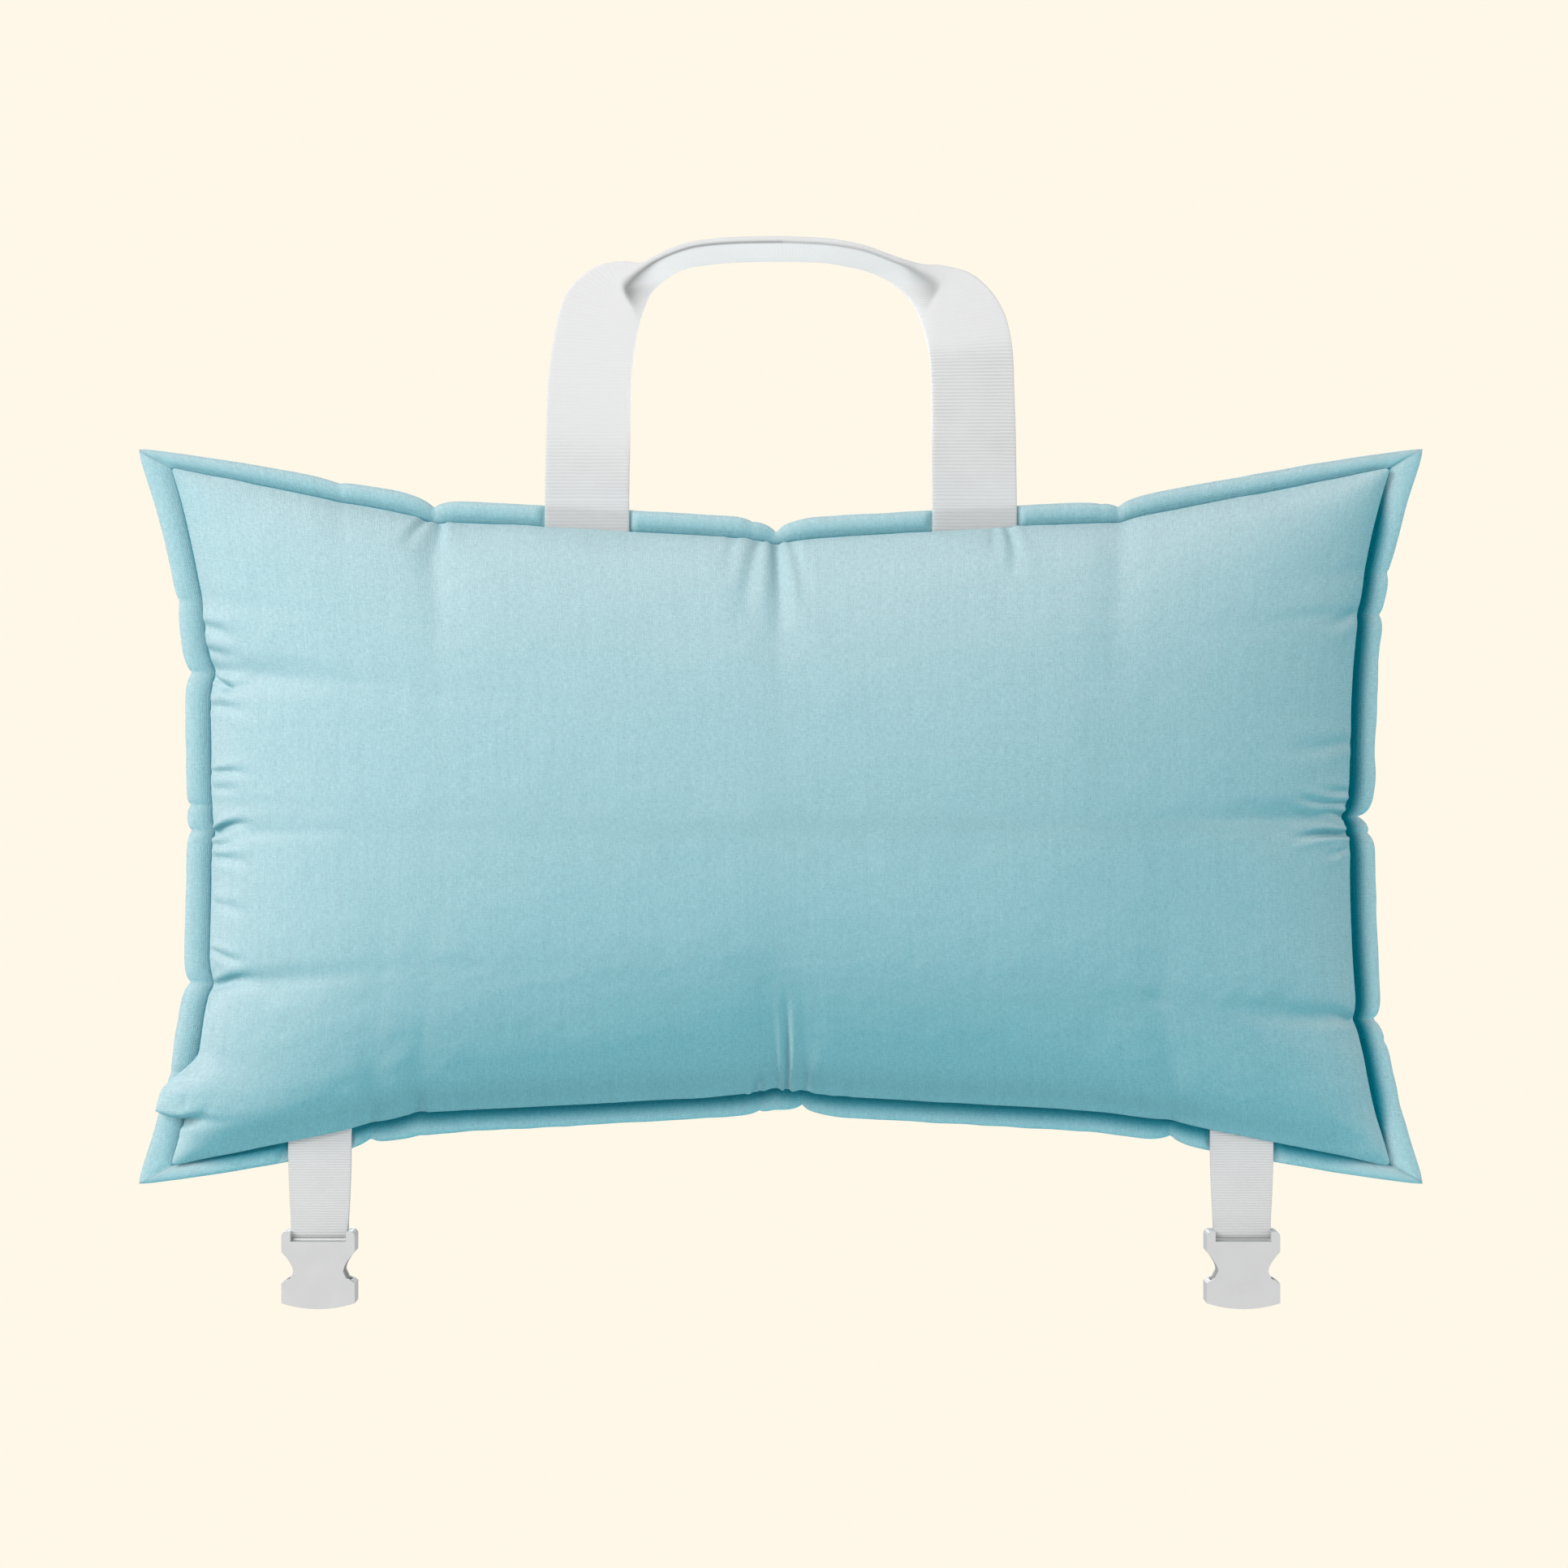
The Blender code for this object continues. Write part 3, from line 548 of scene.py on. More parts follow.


# ---- creases pressed into the blown panels ----
# Placed from the photograph. Each runs from the seam inwards: two points from the middle of the
# pillow, depth, half width, and how far its middle bows to the left of the way it runs.
FRONT_CREASES = (
    ((-0.0030, 0.1290), (0.0000, 0.0720), 0.0019, 0.0028, 0.0012),
    ((-0.0100, 0.1285), (-0.0165, 0.0800), 0.0013, 0.0034, -0.0015),
    ((0.0045, 0.1280), (0.0120, 0.0900), 0.0008, 0.0030, 0.0008),
    ((-0.0220, 0.1290), (-0.0260, 0.1000), 0.0006, 0.0030, 0.0008),
    ((0.1050, 0.1340), (0.1040, 0.1040), 0.0014, 0.0026, 0.0012),
    ((0.0985, 0.1330), (0.0960, 0.1130), 0.0007, 0.0022, -0.0006),
    ((-0.1575, 0.1350), (-0.1560, 0.1130), 0.0014, 0.0024, 0.0008),
    ((-0.1650, 0.1370), (-0.1700, 0.1190), 0.0010, 0.0022, -0.0008),
    ((-0.2660, 0.0880), (-0.2440, 0.0780), 0.0011, 0.0024, 0.0012),
    ((-0.2650, 0.0770), (-0.2420, 0.0730), 0.0009, 0.0020, -0.0010),
    ((-0.2620, 0.0640), (-0.2470, 0.0520), 0.0022, 0.0016, 0.0016),
    ((-0.2610, 0.0600), (-0.2330, 0.0610), 0.0016, 0.0020, -0.0012),
    ((-0.2620, 0.0510), (-0.2380, 0.0460), 0.0010, 0.0020, 0.0010),
    ((-0.2600, 0.0205), (-0.2370, 0.0185), 0.0014, 0.0016, 0.0010),
    ((-0.2600, 0.0130), (-0.2420, 0.0140), 0.0007, 0.0018, -0.0008),
    ((-0.2640, -0.0085), (-0.2360, -0.0030), 0.0026, 0.0015, 0.0020),
    ((-0.2610, -0.0130), (-0.2440, -0.0100), 0.0010, 0.0016, -0.0010),
    ((-0.2600, -0.0190), (-0.2350, -0.0225), 0.0011, 0.0022, 0.0012),
    ((-0.2590, -0.0400), (-0.2380, -0.0460), 0.0008, 0.0024, 0.0010),
    ((-0.2600, -0.0620), (-0.2380, -0.0660), 0.0012, 0.0018, -0.0010),
    ((-0.2600, -0.0780), (-0.2330, -0.0730), 0.0018, 0.0022, 0.0014),
    ((-0.2650, -0.0880), (-0.2700, -0.1080), 0.0020, 0.0018, 0.0016),
    ((-0.2800, -0.1420), (-0.2580, -0.1330), 0.0016, 0.0022, -0.0016),
    ((0.2640, 0.0120), (0.2420, 0.0130), 0.0010, 0.0014, 0.0008),
    ((0.2620, 0.0060), (0.2280, 0.0105), 0.0022, 0.0014, 0.0016),
    ((0.2600, 0.0000), (0.2400, 0.0030), 0.0014, 0.0014, -0.0010),
    ((0.2600, -0.0080), (0.2260, -0.0105), 0.0028, 0.0014, -0.0014),
    ((0.2600, -0.0150), (0.2420, -0.0170), 0.0008, 0.0016, 0.0008),
    ((0.2590, 0.0340), (0.2200, 0.0300), 0.0007, 0.0030, 0.0010),
    ((0.2630, 0.0930), (0.2450, 0.0860), 0.0010, 0.0026, 0.0010),
    ((0.2620, -0.0940), (0.2440, -0.0880), 0.0012, 0.0024, -0.0010),
    ((0.0030, -0.1290), (0.0020, -0.0700), 0.0024, 0.0013, -0.0006),
    ((0.0110, -0.1290), (0.0135, -0.0980), 0.0009, 0.0028, 0.0010),
    ((-0.0120, -0.1290), (-0.0105, -0.1120), 0.0020, 0.0018, -0.0010),
    ((0.0290, -0.1290), (0.0310, -0.1120), 0.0006, 0.0030, 0.0008),
    ((-0.1680, -0.1370), (-0.1640, -0.1180), 0.0014, 0.0028, 0.0010),
    ((-0.1900, -0.1390), (-0.1850, -0.1270), 0.0012, 0.0030, -0.0010),
    ((-0.1480, -0.1350), (-0.1440, -0.1240), 0.0008, 0.0026, 0.0008),
    ((0.1660, -0.1360), (0.1620, -0.1200), 0.0008, 0.0026, 0.0008),
)
BACK_CREASES = tuple(
    ((x0, z0), (x1, z1), depth * 0.9, half * 1.1, -bow)
    for (x0, z0), (x1, z1), depth, half, bow in FRONT_CREASES
    if not (x0 < -0.25 and z0 < -0.08)
)


def crease(points, normals, creases, side):
    """Presses creases into a panel: a valley with a softer ridge on either side."""
    flat = np.stack([points[:, 0], points[:, 2] - MIDDLE_Z], axis=1)
    shown = smooth(normals[:, 1] * side / 0.10)
    moved = np.zeros(len(points))
    for start, end, depth, half, bow in creases:
        start, end = np.array(start), np.array(end)
        run = np.linalg.norm(end - start)
        ahead = (end - start) / run
        aside = np.array([-ahead[1], ahead[0]])
        t = (flat - start) @ ahead / run
        off = (flat - start) @ aside - bow * np.sin(np.pi * np.clip(t, 0.0, 1.0))
        fade = smooth((t + 0.25) / 0.30) * smooth((1.0 - t) / 0.75)
        spread = half * (0.75 + 0.7 * np.clip(t, 0.0, 1.0))
        valley = np.exp(-((off / spread) ** 2))
        ridge = np.exp(-(((off - 2.1 * spread) / (1.2 * spread)) ** 2))
        ridge += 0.6 * np.exp(-(((off + 2.2 * spread) / (1.3 * spread)) ** 2))
        moved += depth * fade * (0.42 * ridge - valley)
    return points + normals * (moved * shown)[:, None]


def unevenness(points, normals, side):
    """Soft lumps of the filling and slack cloth near the seams."""
    lumps = np.array([noise.noise(Vector((p[0] * 11.0, side * 5.0, p[2] * 11.0))) for p in points])
    slack = np.array([noise.noise(Vector((p[0] * 38.0, side * 9.0, p[2] * 38.0))) for p in points])
    shown = smooth(normals[:, 1] * side / 0.15)
    near_seam = 1.0 - smooth((np.abs(points[:, 1]) - 0.010) / 0.045)
    rise = shown * (0.0007 * lumps * (1 - near_seam) + 0.0009 * slack * near_seam)
    return points + normals * rise[:, None]


def finish_panel(obj, creases, side, levels):
    refine(obj, levels)
    if side < 0:
        set_coordinates(obj, hang_over(coordinates(obj)))
    points = unevenness(coordinates(obj), normals_of(obj), side)
    set_coordinates(obj, crease(points, normals_of(obj), creases, side))
    obj.data.shade_smooth()


# ---- puffed border ----
def border_outline():
    """Seam and outer edge of the border, clockwise from its top left corner, with the side each is on."""
    seam, outer, where = [], [], []
    for side in ("top", "right", "bottom", "left"):
        long_side = side in ("top", "bottom")
        length = CORNER_X if long_side else CORNER_Z
        count = int(2 * length / 0.0011)
        t = np.linspace(-1.0, 1.0, count, endpoint=False)
        if side in ("right", "bottom"):
            t = -t
        place = t * length
        sx, sz = seam_point(side, place)
        base = swell(place, PINCHES[side], length)
        flare = np.abs(t) ** 8
        nick = nicks(place, PINCHES[side]) * (1.0 - flare)
        rough = 0.00055 if side == "right" else 0.00028
        ragged = np.array([noise.noise(Vector((p * 90.0, length * 40.0, len(side)))) for p in place])
        nick += rough * ragged * (1 - flare)
        rounding = 0.0009 * np.maximum(0.0, (np.abs(t) - (1.0 - 0.006 / length)) * length / 0.006) ** 2
        if long_side:
            sign = 1.0 if side == "top" else -1.0
            width = FLANGE_LONG_WIDTH + (FLANGE_CORNER_Z - FLANGE_LONG_WIDTH) * flare
            ox = sx + np.sign(t) * (flare * FLANGE_CORNER_X - 1.4 * rounding)
            oz = sz + sign * (width - nick - 0.5 * base - 0.6 * rounding)
        else:
            sign = 1.0 if side == "right" else -1.0
            width = FLANGE_SHORT_WIDTH + (FLANGE_CORNER_X - FLANGE_SHORT_WIDTH) * flare
            ox = sx + sign * (width - nick - 0.5 * base - 1.4 * rounding)
            oz = sz + np.sign(t) * (flare * FLANGE_CORNER_Z - 0.6 * rounding)
        seam.append(np.stack([sx, sz], axis=1))
        outer.append(np.stack([ox, oz], axis=1))
        where += [(side, float(p), float(n)) for p, n in zip(place, nick)]
    return np.vstack(seam), np.vstack(outer), where


def puff(q, floor):
    """Half thickness across the border, 0 at the seam to 1 at the edge, as a share of the full puff."""
    inner = floor + (1.0 - floor) * smooth(q / 0.46)
    outer = np.sqrt(np.maximum(0.0, 1.0 - (np.maximum(0.0, q - 0.52) / 0.48) ** 2.6))
    return np.where(q < 0.52, inner, outer)


# Painted shade beside the seam, wider and stronger on the right and bottom where the panel's shadow falls:
# strength, width of its full part, width of its fade, and how deep the border dips.
GROOVE = {
    "top": (0.70, 0.0002, 0.0017, 0.62),
    "right": (1.0, 0.0030, 0.0070, 0.34),
    "bottom": (0.95, 0.0011, 0.0100, 0.55),
    "left": (0.85, 0.0003, 0.0026, 0.55),
}


# What is sewn over the border and presses it flat: its side, and the place and half width of each end.
SEWN_ON = (("top", HANDLE_LEG_X, HANDLE_HALF_WIDTH), ("bottom", STRAP_X, STRAP_TOP_HALF))


def make_border():
    seam, outer, where = border_outline()
    across = np.array(
        [-0.50, -0.12, 0.0, 0.05, 0.11, 0.18, 0.27, 0.38, 0.50, 0.62, 0.73, 0.82, 0.90, 0.95, 0.985]
    )
    vertices, cloth, shades = [], [], []
    along = 0.0
    total = len(seam)
    for i in range(total):
        side, place, nick = where[i]
        along += float(np.linalg.norm(outer[i] - outer[i - 1])) if i else 0.0
        full = FLANGE_PUFF * (1.0 + 0.16 * noise.noise(Vector((along * 23.0, 3.1, 0.4))))
        full *= 1.0 - 0.58 * min(1.0, nick / 0.0036)
        length = CORNER_X if side in ("top", "bottom") else CORNER_Z
        mitre = math.exp(-((length - abs(place)) / 0.0016) ** 2)
        flat_corner = 1.0 - float(smooth((length - abs(place)) / 0.035))
        full *= 1.0 - 0.22 * flat_corner
        pressed = 0.0
        for holder, centre, half in SEWN_ON:
            if side == holder:
                pressed = max(pressed, float(smooth((half + 0.0045 - abs(abs(place) - centre)) / 0.0035)))
        front, back = [], []
        profile = puff(np.maximum(across, 0.0), GROOVE[side][3])
        for q, share in zip(across, profile):
            xz = seam[i] + (outer[i] - seam[i]) * q
            half = full * share * (1.0 - 0.30 * mitre * (1.0 - abs(2.0 * max(q, 0.0) - 0.8)))
            near = half + (min(half, 0.0020) - half) * pressed
            front.append((xz[0], -near, xz[1] + MIDDLE_Z))
            back.append((xz[0], half, xz[1] + MIDDLE_Z))
        tip = (outer[i][0], 0.0, outer[i][1] + MIDDLE_Z)
        ring = front + [tip] + back[::-1]
        vertices += ring
        width = float(np.linalg.norm(outer[i] - seam[i]))
        spread = [q * width for q in across]
        sides = spread + [width * 1.02] + [width * 2.1 - s for s in spread[::-1]]
        # Painted shade on the front beside the seam, and a painted shadow line beside the seam on the back.
        strength, full_to, fade, _ = GROOVE[side]
        full_to, fade = full_to * (1 - flat_corner), fade + (0.0018 - fade) * flat_corner
        dark = [strength * (1.0 - float(smooth((s - full_to) / fade))) for s in spread]
        shades += dark + [0.0] + [0.8 * math.exp(-((max(s, 0.0) / 0.0015) ** 1.4)) for s in spread[::-1]]
        if side in ("top", "bottom"):
            cloth += [(place, s + 0.2) for s in sides]
        else:
            cloth += [(s + 0.4, place) for s in sides]
    ring_size = 2 * len(across) + 1
    faces = grid_faces(total, ring_size, closed_rows=True, closed_columns=True, flipped=True)
    obj = new_mesh_object("border", vertices, faces)
    set_uv(obj, cloth)
    set_uv(obj, [(shade, 0.0) for shade in shades], "Seam")
    return obj


# ---- handle ----
# Stations from the bend line up a leg to the middle of the handle, in metres from the middle of the
# pillow. Each has the outer edge, the fold and the inner edge, as x, height and depth. The edges' places
# were read off the enlarged photograph and scaled to metres, and the depths are guessed. They
# aren't worked out from the frame.
LEFT_HANDLE = (
    ((-0.1090, 0.1466, -0.0031), (-0.0740, 0.1466, -0.0031), (-0.0710, 0.1466, -0.0031)),
    ((-0.1088, 0.1610, -0.0031), (-0.0737, 0.1610, -0.0031), (-0.0708, 0.1610, -0.0031)),
    ((-0.1085, 0.1790, -0.0031), (-0.0732, 0.1790, -0.0031), (-0.0704, 0.1790, -0.0031)),
    ((-0.1078, 0.1987, -0.0031), (-0.0728, 0.1985, -0.0031), (-0.0701, 0.1985, -0.0031)),
    ((-0.1063, 0.2127, -0.0031), (-0.0720, 0.2115, -0.0031), (-0.0692, 0.2112, -0.0030)),
    ((-0.1041, 0.2262, -0.0032), (-0.0700, 0.2232, -0.0032), (-0.0673, 0.2228, -0.0026)),
    ((-0.1020, 0.2352, -0.0032), (-0.0682, 0.2298, -0.0034), (-0.0655, 0.2302, -0.0018)),
    ((-0.0984, 0.2436, -0.0033), (-0.0672, 0.2328, -0.0036), (-0.0638, 0.2355, 0.0004)),
    ((-0.0930, 0.2497, -0.0035), (-0.0686, 0.2362, -0.0042), (-0.0623, 0.2402, 0.0028)),
    ((-0.0868, 0.2540, -0.0040), (-0.0704, 0.2394, -0.0050), (-0.0603, 0.2448, 0.0060)),
    ((-0.0805, 0.2562, -0.0050), (-0.0716, 0.2426, -0.0062), (-0.0573, 0.2487, 0.0096)),
    ((-0.0724, 0.2566, -0.0068), (-0.0712, 0.2456, -0.0076), (-0.0533, 0.2526, 0.0128)),
    ((-0.0651, 0.2556, -0.0094), (-0.0657, 0.2508, -0.0098), (-0.0484, 0.2560, 0.0150)),
    ((-0.0592, 0.2576, -0.0125), (-0.0592, 0.2550, -0.0128), (-0.0425, 0.2584, 0.0168)),
    ((-0.0517, 0.2608, -0.0153), (-0.0517, 0.2582, -0.0156), (-0.0365, 0.2596, 0.0182)),
    ((-0.0440, 0.2631, -0.0172), (-0.0440, 0.2606, -0.0175), (-0.0310, 0.2604, 0.0188)),
    ((-0.0364, 0.2643, -0.0184), (-0.0364, 0.2620, -0.0186), (-0.0255, 0.2609, 0.0190)),
    ((-0.0212, 0.2655, -0.0190), (-0.0212, 0.2632, -0.0190), (-0.0170, 0.2614, 0.0190)),
    ((0.0000, 0.2659, -0.0190), (0.0000, 0.2636, -0.0190), (0.0000, 0.2616, 0.0190)),
)
RIGHT_HANDLE = (
    ((0.1090, 0.1466, -0.0031), (0.0740, 0.1466, -0.0031), (0.0710, 0.1466, -0.0031)),
    ((0.1088, 0.1610, -0.0031), (0.0738, 0.1610, -0.0031), (0.0709, 0.1610, -0.0031)),
    ((0.1085, 0.1790, -0.0031), (0.0735, 0.1790, -0.0031), (0.0707, 0.1790, -0.0031)),
    ((0.1078, 0.1987, -0.0031), (0.0732, 0.1985, -0.0031), (0.0705, 0.1985, -0.0031)),
    ((0.1072, 0.2150, -0.0031), (0.0722, 0.2142, -0.0031), (0.0695, 0.2140, -0.0030)),
    ((0.1052, 0.2274, -0.0032), (0.0704, 0.2230, -0.0030), (0.0677, 0.2226, -0.0024)),
    ((0.1025, 0.2352, -0.0033), (0.0684, 0.2296, -0.0026), (0.0654, 0.2296, -0.0012)),
    ((0.0978, 0.2428, -0.0036), (0.0674, 0.2344, -0.0022), (0.0632, 0.2352, 0.0008)),
    ((0.0917, 0.2489, -0.0040), (0.0690, 0.2384, -0.0022), (0.0610, 0.2400, 0.0036)),
    ((0.0863, 0.2522, -0.0045), (0.0708, 0.2418, -0.0032), (0.0584, 0.2440, 0.0068)),
    ((0.0800, 0.2540, -0.0052), (0.0712, 0.2448, -0.0050), (0.0554, 0.2474, 0.0100)),
    ((0.0728, 0.2550, -0.0066), (0.0690, 0.2474, -0.0070), (0.0518, 0.2506, 0.0128)),
    ((0.0655, 0.2548, -0.0092), (0.0642, 0.2502, -0.0094), (0.0474, 0.2534, 0.0150)),
    ((0.0590, 0.2560, -0.0124), (0.0586, 0.2532, -0.0126), (0.0424, 0.2560, 0.0168)),
    ((0.0524, 0.2576, -0.0150), (0.0522, 0.2552, -0.0152), (0.0365, 0.2580, 0.0182)),
    ((0.0450, 0.2600, -0.0170), (0.0450, 0.2577, -0.0172), (0.0312, 0.2592, 0.0188)),
    ((0.0368, 0.2624, -0.0184), (0.0368, 0.2601, -0.0186), (0.0258, 0.2602, 0.0190)),
    ((0.0212, 0.2649, -0.0190), (0.0212, 0.2626, -0.0190), (0.0172, 0.2612, 0.0190)),
    ((0.0000, 0.2659, -0.0190), (0.0000, 0.2636, -0.0190), (0.0000, 0.2616, 0.0190)),
)


def spline_rows(rows, t):
    """Catmull-Rom through an array of rows, at t from 0 to 1."""
    rows = np.asarray(rows, float)
    place = t * (len(rows) - 1)
    i = min(int(place), len(rows) - 2)
    f = place - i
    p0 = rows[max(i - 1, 0)]
    p1 = rows[i]
    p2 = rows[i + 1]
    p3 = rows[min(i + 2, len(rows) - 1)]
    square = 2 * p0 - 5 * p1 + 4 * p2 - p3
    cube = 3 * p1 - p0 - 3 * p2 + p3
    return 0.5 * (2 * p1 + (p2 - p0) * f + square * f**2 + cube * f**3)


def webbing_shell(name, surface, spans, thickness, uvs, edge_steps=4, shades=None, ribbed=None):
    """A band of webbing: surface[i][j] is its shown face, spans its normals. Its edges are rounded. shades is
    painted shadow on its shown face, ribbed how strong its ribs are.
    """
    rows = len(surface)
    columns = len(surface[0])
    vertices, cloth, shadows, ribs = [], [], [], []
    for i in range(rows):
        front = surface[i]
        back = surface[i] + spans[i] * thickness[i]
        ring = list(front)
        uv_ring = list(uvs[i])
        shadows += list(shades[i]) if shades is not None else [0.0] * columns
        shadows += [0.0] * (columns + 2 * (edge_steps - 1))
        ribs += [ribbed[i] if ribbed is not None else 1.0] * (2 * columns + 2 * (edge_steps - 1))
        for end, order in ((columns - 1, 1), (0, -1)):
            edge_dir = front[end] - front[end - 1] if end else front[0] - front[1]
            edge_dir = edge_dir / np.linalg.norm(edge_dir)
            middle = (front[end] + back[end]) / 2
            half = (front[end] - back[end]) / 2
            reach = np.linalg.norm(half)
            for k in range(1, edge_steps):
                angle = math.pi * k / edge_steps
                turn = math.cos(angle) if order > 0 else -math.cos(angle)
                ring.append(middle + half * turn + edge_dir * reach * math.sin(angle) * 0.8)
                uv_ring.append(uvs[i][end])
            if order > 0:
                ring += list(back[::-1])
                uv_ring += list(uvs[i][::-1])
        vertices += ring
        cloth += uv_ring
    size = len(vertices) // rows
    faces = grid_faces(rows, size, closed_columns=True)
    faces.append(tuple(range(size))[::-1])
    faces.append(tuple(range((rows - 1) * size, rows * size)))
    obj = new_mesh_object(name, vertices, faces)
    set_uv(obj, cloth)
    set_uv(obj, list(zip(shadows, ribs)), "Seam")
    return obj


def surface_normals(surface):
    """Normals of a grid of points, pointing away from the side that shows at the front."""
    s = np.asarray(surface)
    along = np.gradient(s, axis=0)
    across = np.gradient(s, axis=1)
    normal = np.cross(along, across)
    normal /= np.linalg.norm(normal, axis=2)[..., None]
    return list(normal)


def across_fold(outer, fold, inner, w, softness):
    """A point across the webbing, 0 at the outer edge to 1 at the inner one, round a softened fold."""
    first = np.linalg.norm(fold - outer)
    second = np.linalg.norm(inner - fold)
    at = first / (first + second)
    distance = w - at
    bend = softness * float(np.logaddexp(0.0, distance / softness))
    ahead = (fold - outer) / first
    after = (inner - fold) / second
    base = outer + ahead * (first + second) * w
    return base + (after - ahead) * (first + second) * bend


STRAIGHT_TO = 0.1440  # height up to which a leg keeps its first station's width


def straight_leg(station, heights):
    """A leg's first station repeated at each height."""
    return [[(x, height, y) for x, _, y in station] for height in heights]


def handle_rows():
    """Points of the handle's shown face from the left leg's sewn end round to the right one's."""
    steps = 150
    rows, lengths = [], []
    sections = straight_leg(LEFT_HANDLE[0], np.linspace(HANDLE_END_LOW, STRAIGHT_TO, 10))
    sections += [spline_rows(LEFT_HANDLE, k / steps) for k in range(steps + 1)]
    sections += [spline_rows(RIGHT_HANDLE, k / steps) for k in range(steps)][::-1]
    sections += straight_leg(RIGHT_HANDLE[0], np.linspace(STRAIGHT_TO, HANDLE_END_LOW, 10))
    travelled = 0.0
    last = None
    painted_fold_shadows, ribbed = [], []
    for section in sections:
        outer, fold, inner = (
            np.array((p[0], p[2] - WEBBING_THICKNESS / 2, p[1] + MIDDLE_Z)) for p in section
        )
        depth_between = abs(inner[1] - outer[1])
        softness = 0.030 - 0.018 * min(1.0, depth_between / 0.030)
        if outer[0] > 0:
            softness *= 1.8 - 0.8 * min(1.0, depth_between / 0.034)
        row = [across_fold(outer, fold, inner, w, softness) for w in HANDLE_ACROSS]
        rows.append(row)
        at = np.linalg.norm(fold - outer) / (np.linalg.norm(fold - outer) + np.linalg.norm(inner - fold))
        # Painted shadow along the fold on the shown face, stronger on the left leg and spread wider at the
        # shoulders.
        folded = float(smooth((depth_between - 0.0015) / 0.014))
        shoulder = folded * (1.0 - float(smooth((depth_between - 0.016) / 0.018)))
        strength = folded * (0.85 if outer[0] < 0 else 0.60)
        reach = 0.035 + (0.20 if outer[0] < 0 else 0.26) * shoulder
        shadow = strength * np.exp(-(np.maximum(HANDLE_ACROSS - at - 0.02, 0.0) / reach) ** 1.5)
        shadow *= smooth((HANDLE_ACROSS - at + 0.035 + 0.12 * shoulder) / (0.045 + 0.14 * shoulder))
        painted_fold_shadows.append(shadow)
        height = outer[2] - MIDDLE_Z
        if outer[0] < 0:
            ribbed.append(0.14 + 0.46 * float(smooth((0.184 - height) / 0.022)))
        else:
            weaker_low = 0.55 + 0.45 * float(smooth((height - 0.150) / 0.02))
            ribbed.append(0.14 + 0.86 * float(smooth((0.226 - height) / 0.016)) * weaker_low)
        centre = row[len(row) // 2]
        if last is not None:
            travelled += float(np.linalg.norm(centre - last))
        last = centre
        lengths.append(travelled)
    return np.array(rows), lengths, painted_fold_shadows, ribbed


HANDLE_ACROSS = np.concatenate((np.linspace(0.0, 0.16, 13), np.linspace(0.19, 1.0, 28)))


def make_handle():
    rows, lengths, painted_fold_shadows, ribbed = handle_rows()
    for _ in range(3):
        rows[1:-1] = (rows[:-2] + 2 * rows[1:-1] + rows[2:]) / 4
    uvs = [[(w * 2 * HANDLE_HALF_WIDTH, length) for w in HANDLE_ACROSS] for length in lengths]
    thickness = [WEBBING_THICKNESS] * len(rows)
    spans = surface_normals(rows)
    if spans[5][5][1] < 0:
        spans = [-s for s in spans]
    return webbing_shell("handle_strap", rows, spans, thickness, uvs, shades=painted_fold_shadows, ribbed=ribbed)


# ---- lower straps ----
STRAP_BAR_HALF = 0.0127  # half width of a strap where it goes round the socket's bar


def strap_half(z):
    """Half width of a strap at a height below its hinge."""
    t = min(1.0, max(0.0, (STRAP_END_HIGH - z) / (STRAP_END_HIGH - BAR_Z)))
    return STRAP_TOP_HALF + (STRAP_BAR_HALF - STRAP_TOP_HALF) * t + 0.0005 * math.sin(math.pi * t)


def make_strap(name, x):
    layer = 0.0009  # thickness of one layer
    offset = 0.0006  # of each layer's middle from the strap's middle
    radius = 0.0019  # of the loop round the bar
    steps = 40
    front = []
    spread_from = BAR_Z + 0.0085
    for k in range(steps):
        z = STRAP_END_HIGH + (BAR_Z - STRAP_END_HIGH) * k / steps
        ease = float(smooth((spread_from - z) / 0.0085))
        front.append((-offset - (radius - offset) * ease, z))
    turn = []
    for k in range(13):
        angle = math.pi + math.pi * k / 12
        turn.append((radius * math.cos(angle), BAR_Z + radius * math.sin(angle)))
    back = [(-y, z) for y, z in reversed(front)]
    line = front + turn + back
    columns = np.linspace(-1.0, 1.0, 17)
    rows, uvs = [], []
    travelled = 0.0
    for number, (y, z) in enumerate(line):
        if number:
            travelled += math.hypot(y - line[number - 1][0], z - line[number - 1][1])
        half = strap_half(z)
        rows.append([np.array((x + c * half, STRAP_Y + y, z + MIDDLE_Z)) for c in columns])
        uvs.append([(c * half, travelled) for c in columns])
    rows = np.array(rows)
    spans = surface_normals(rows)
    if spans[3][8][1] < 0:
        spans = [-s for s in spans]
    centred = [row - span * layer / 2 for row, span in zip(rows, spans)]
    return webbing_shell(name, np.array(centred), spans, [layer] * len(rows), uvs)


# ---- zip on the back ----
TAPE_HALF = 0.1485
CHAIN_HALF = 0.1452
COIL_PITCH = 0.00127


def on_zip(distance, depth, z):
    """Points at distances along the zip's arc, depths below the cover's face and heights."""
    angle = np.asarray(distance) / ZIP_RADIUS
    radius = ZIP_RADIUS - depth
    x = radius * np.sin(angle)
    y = ARC_AXIS_Y + radius * np.cos(angle)
    return np.stack(np.broadcast_arrays(x, y, MIDDLE_Z + z), axis=-1)


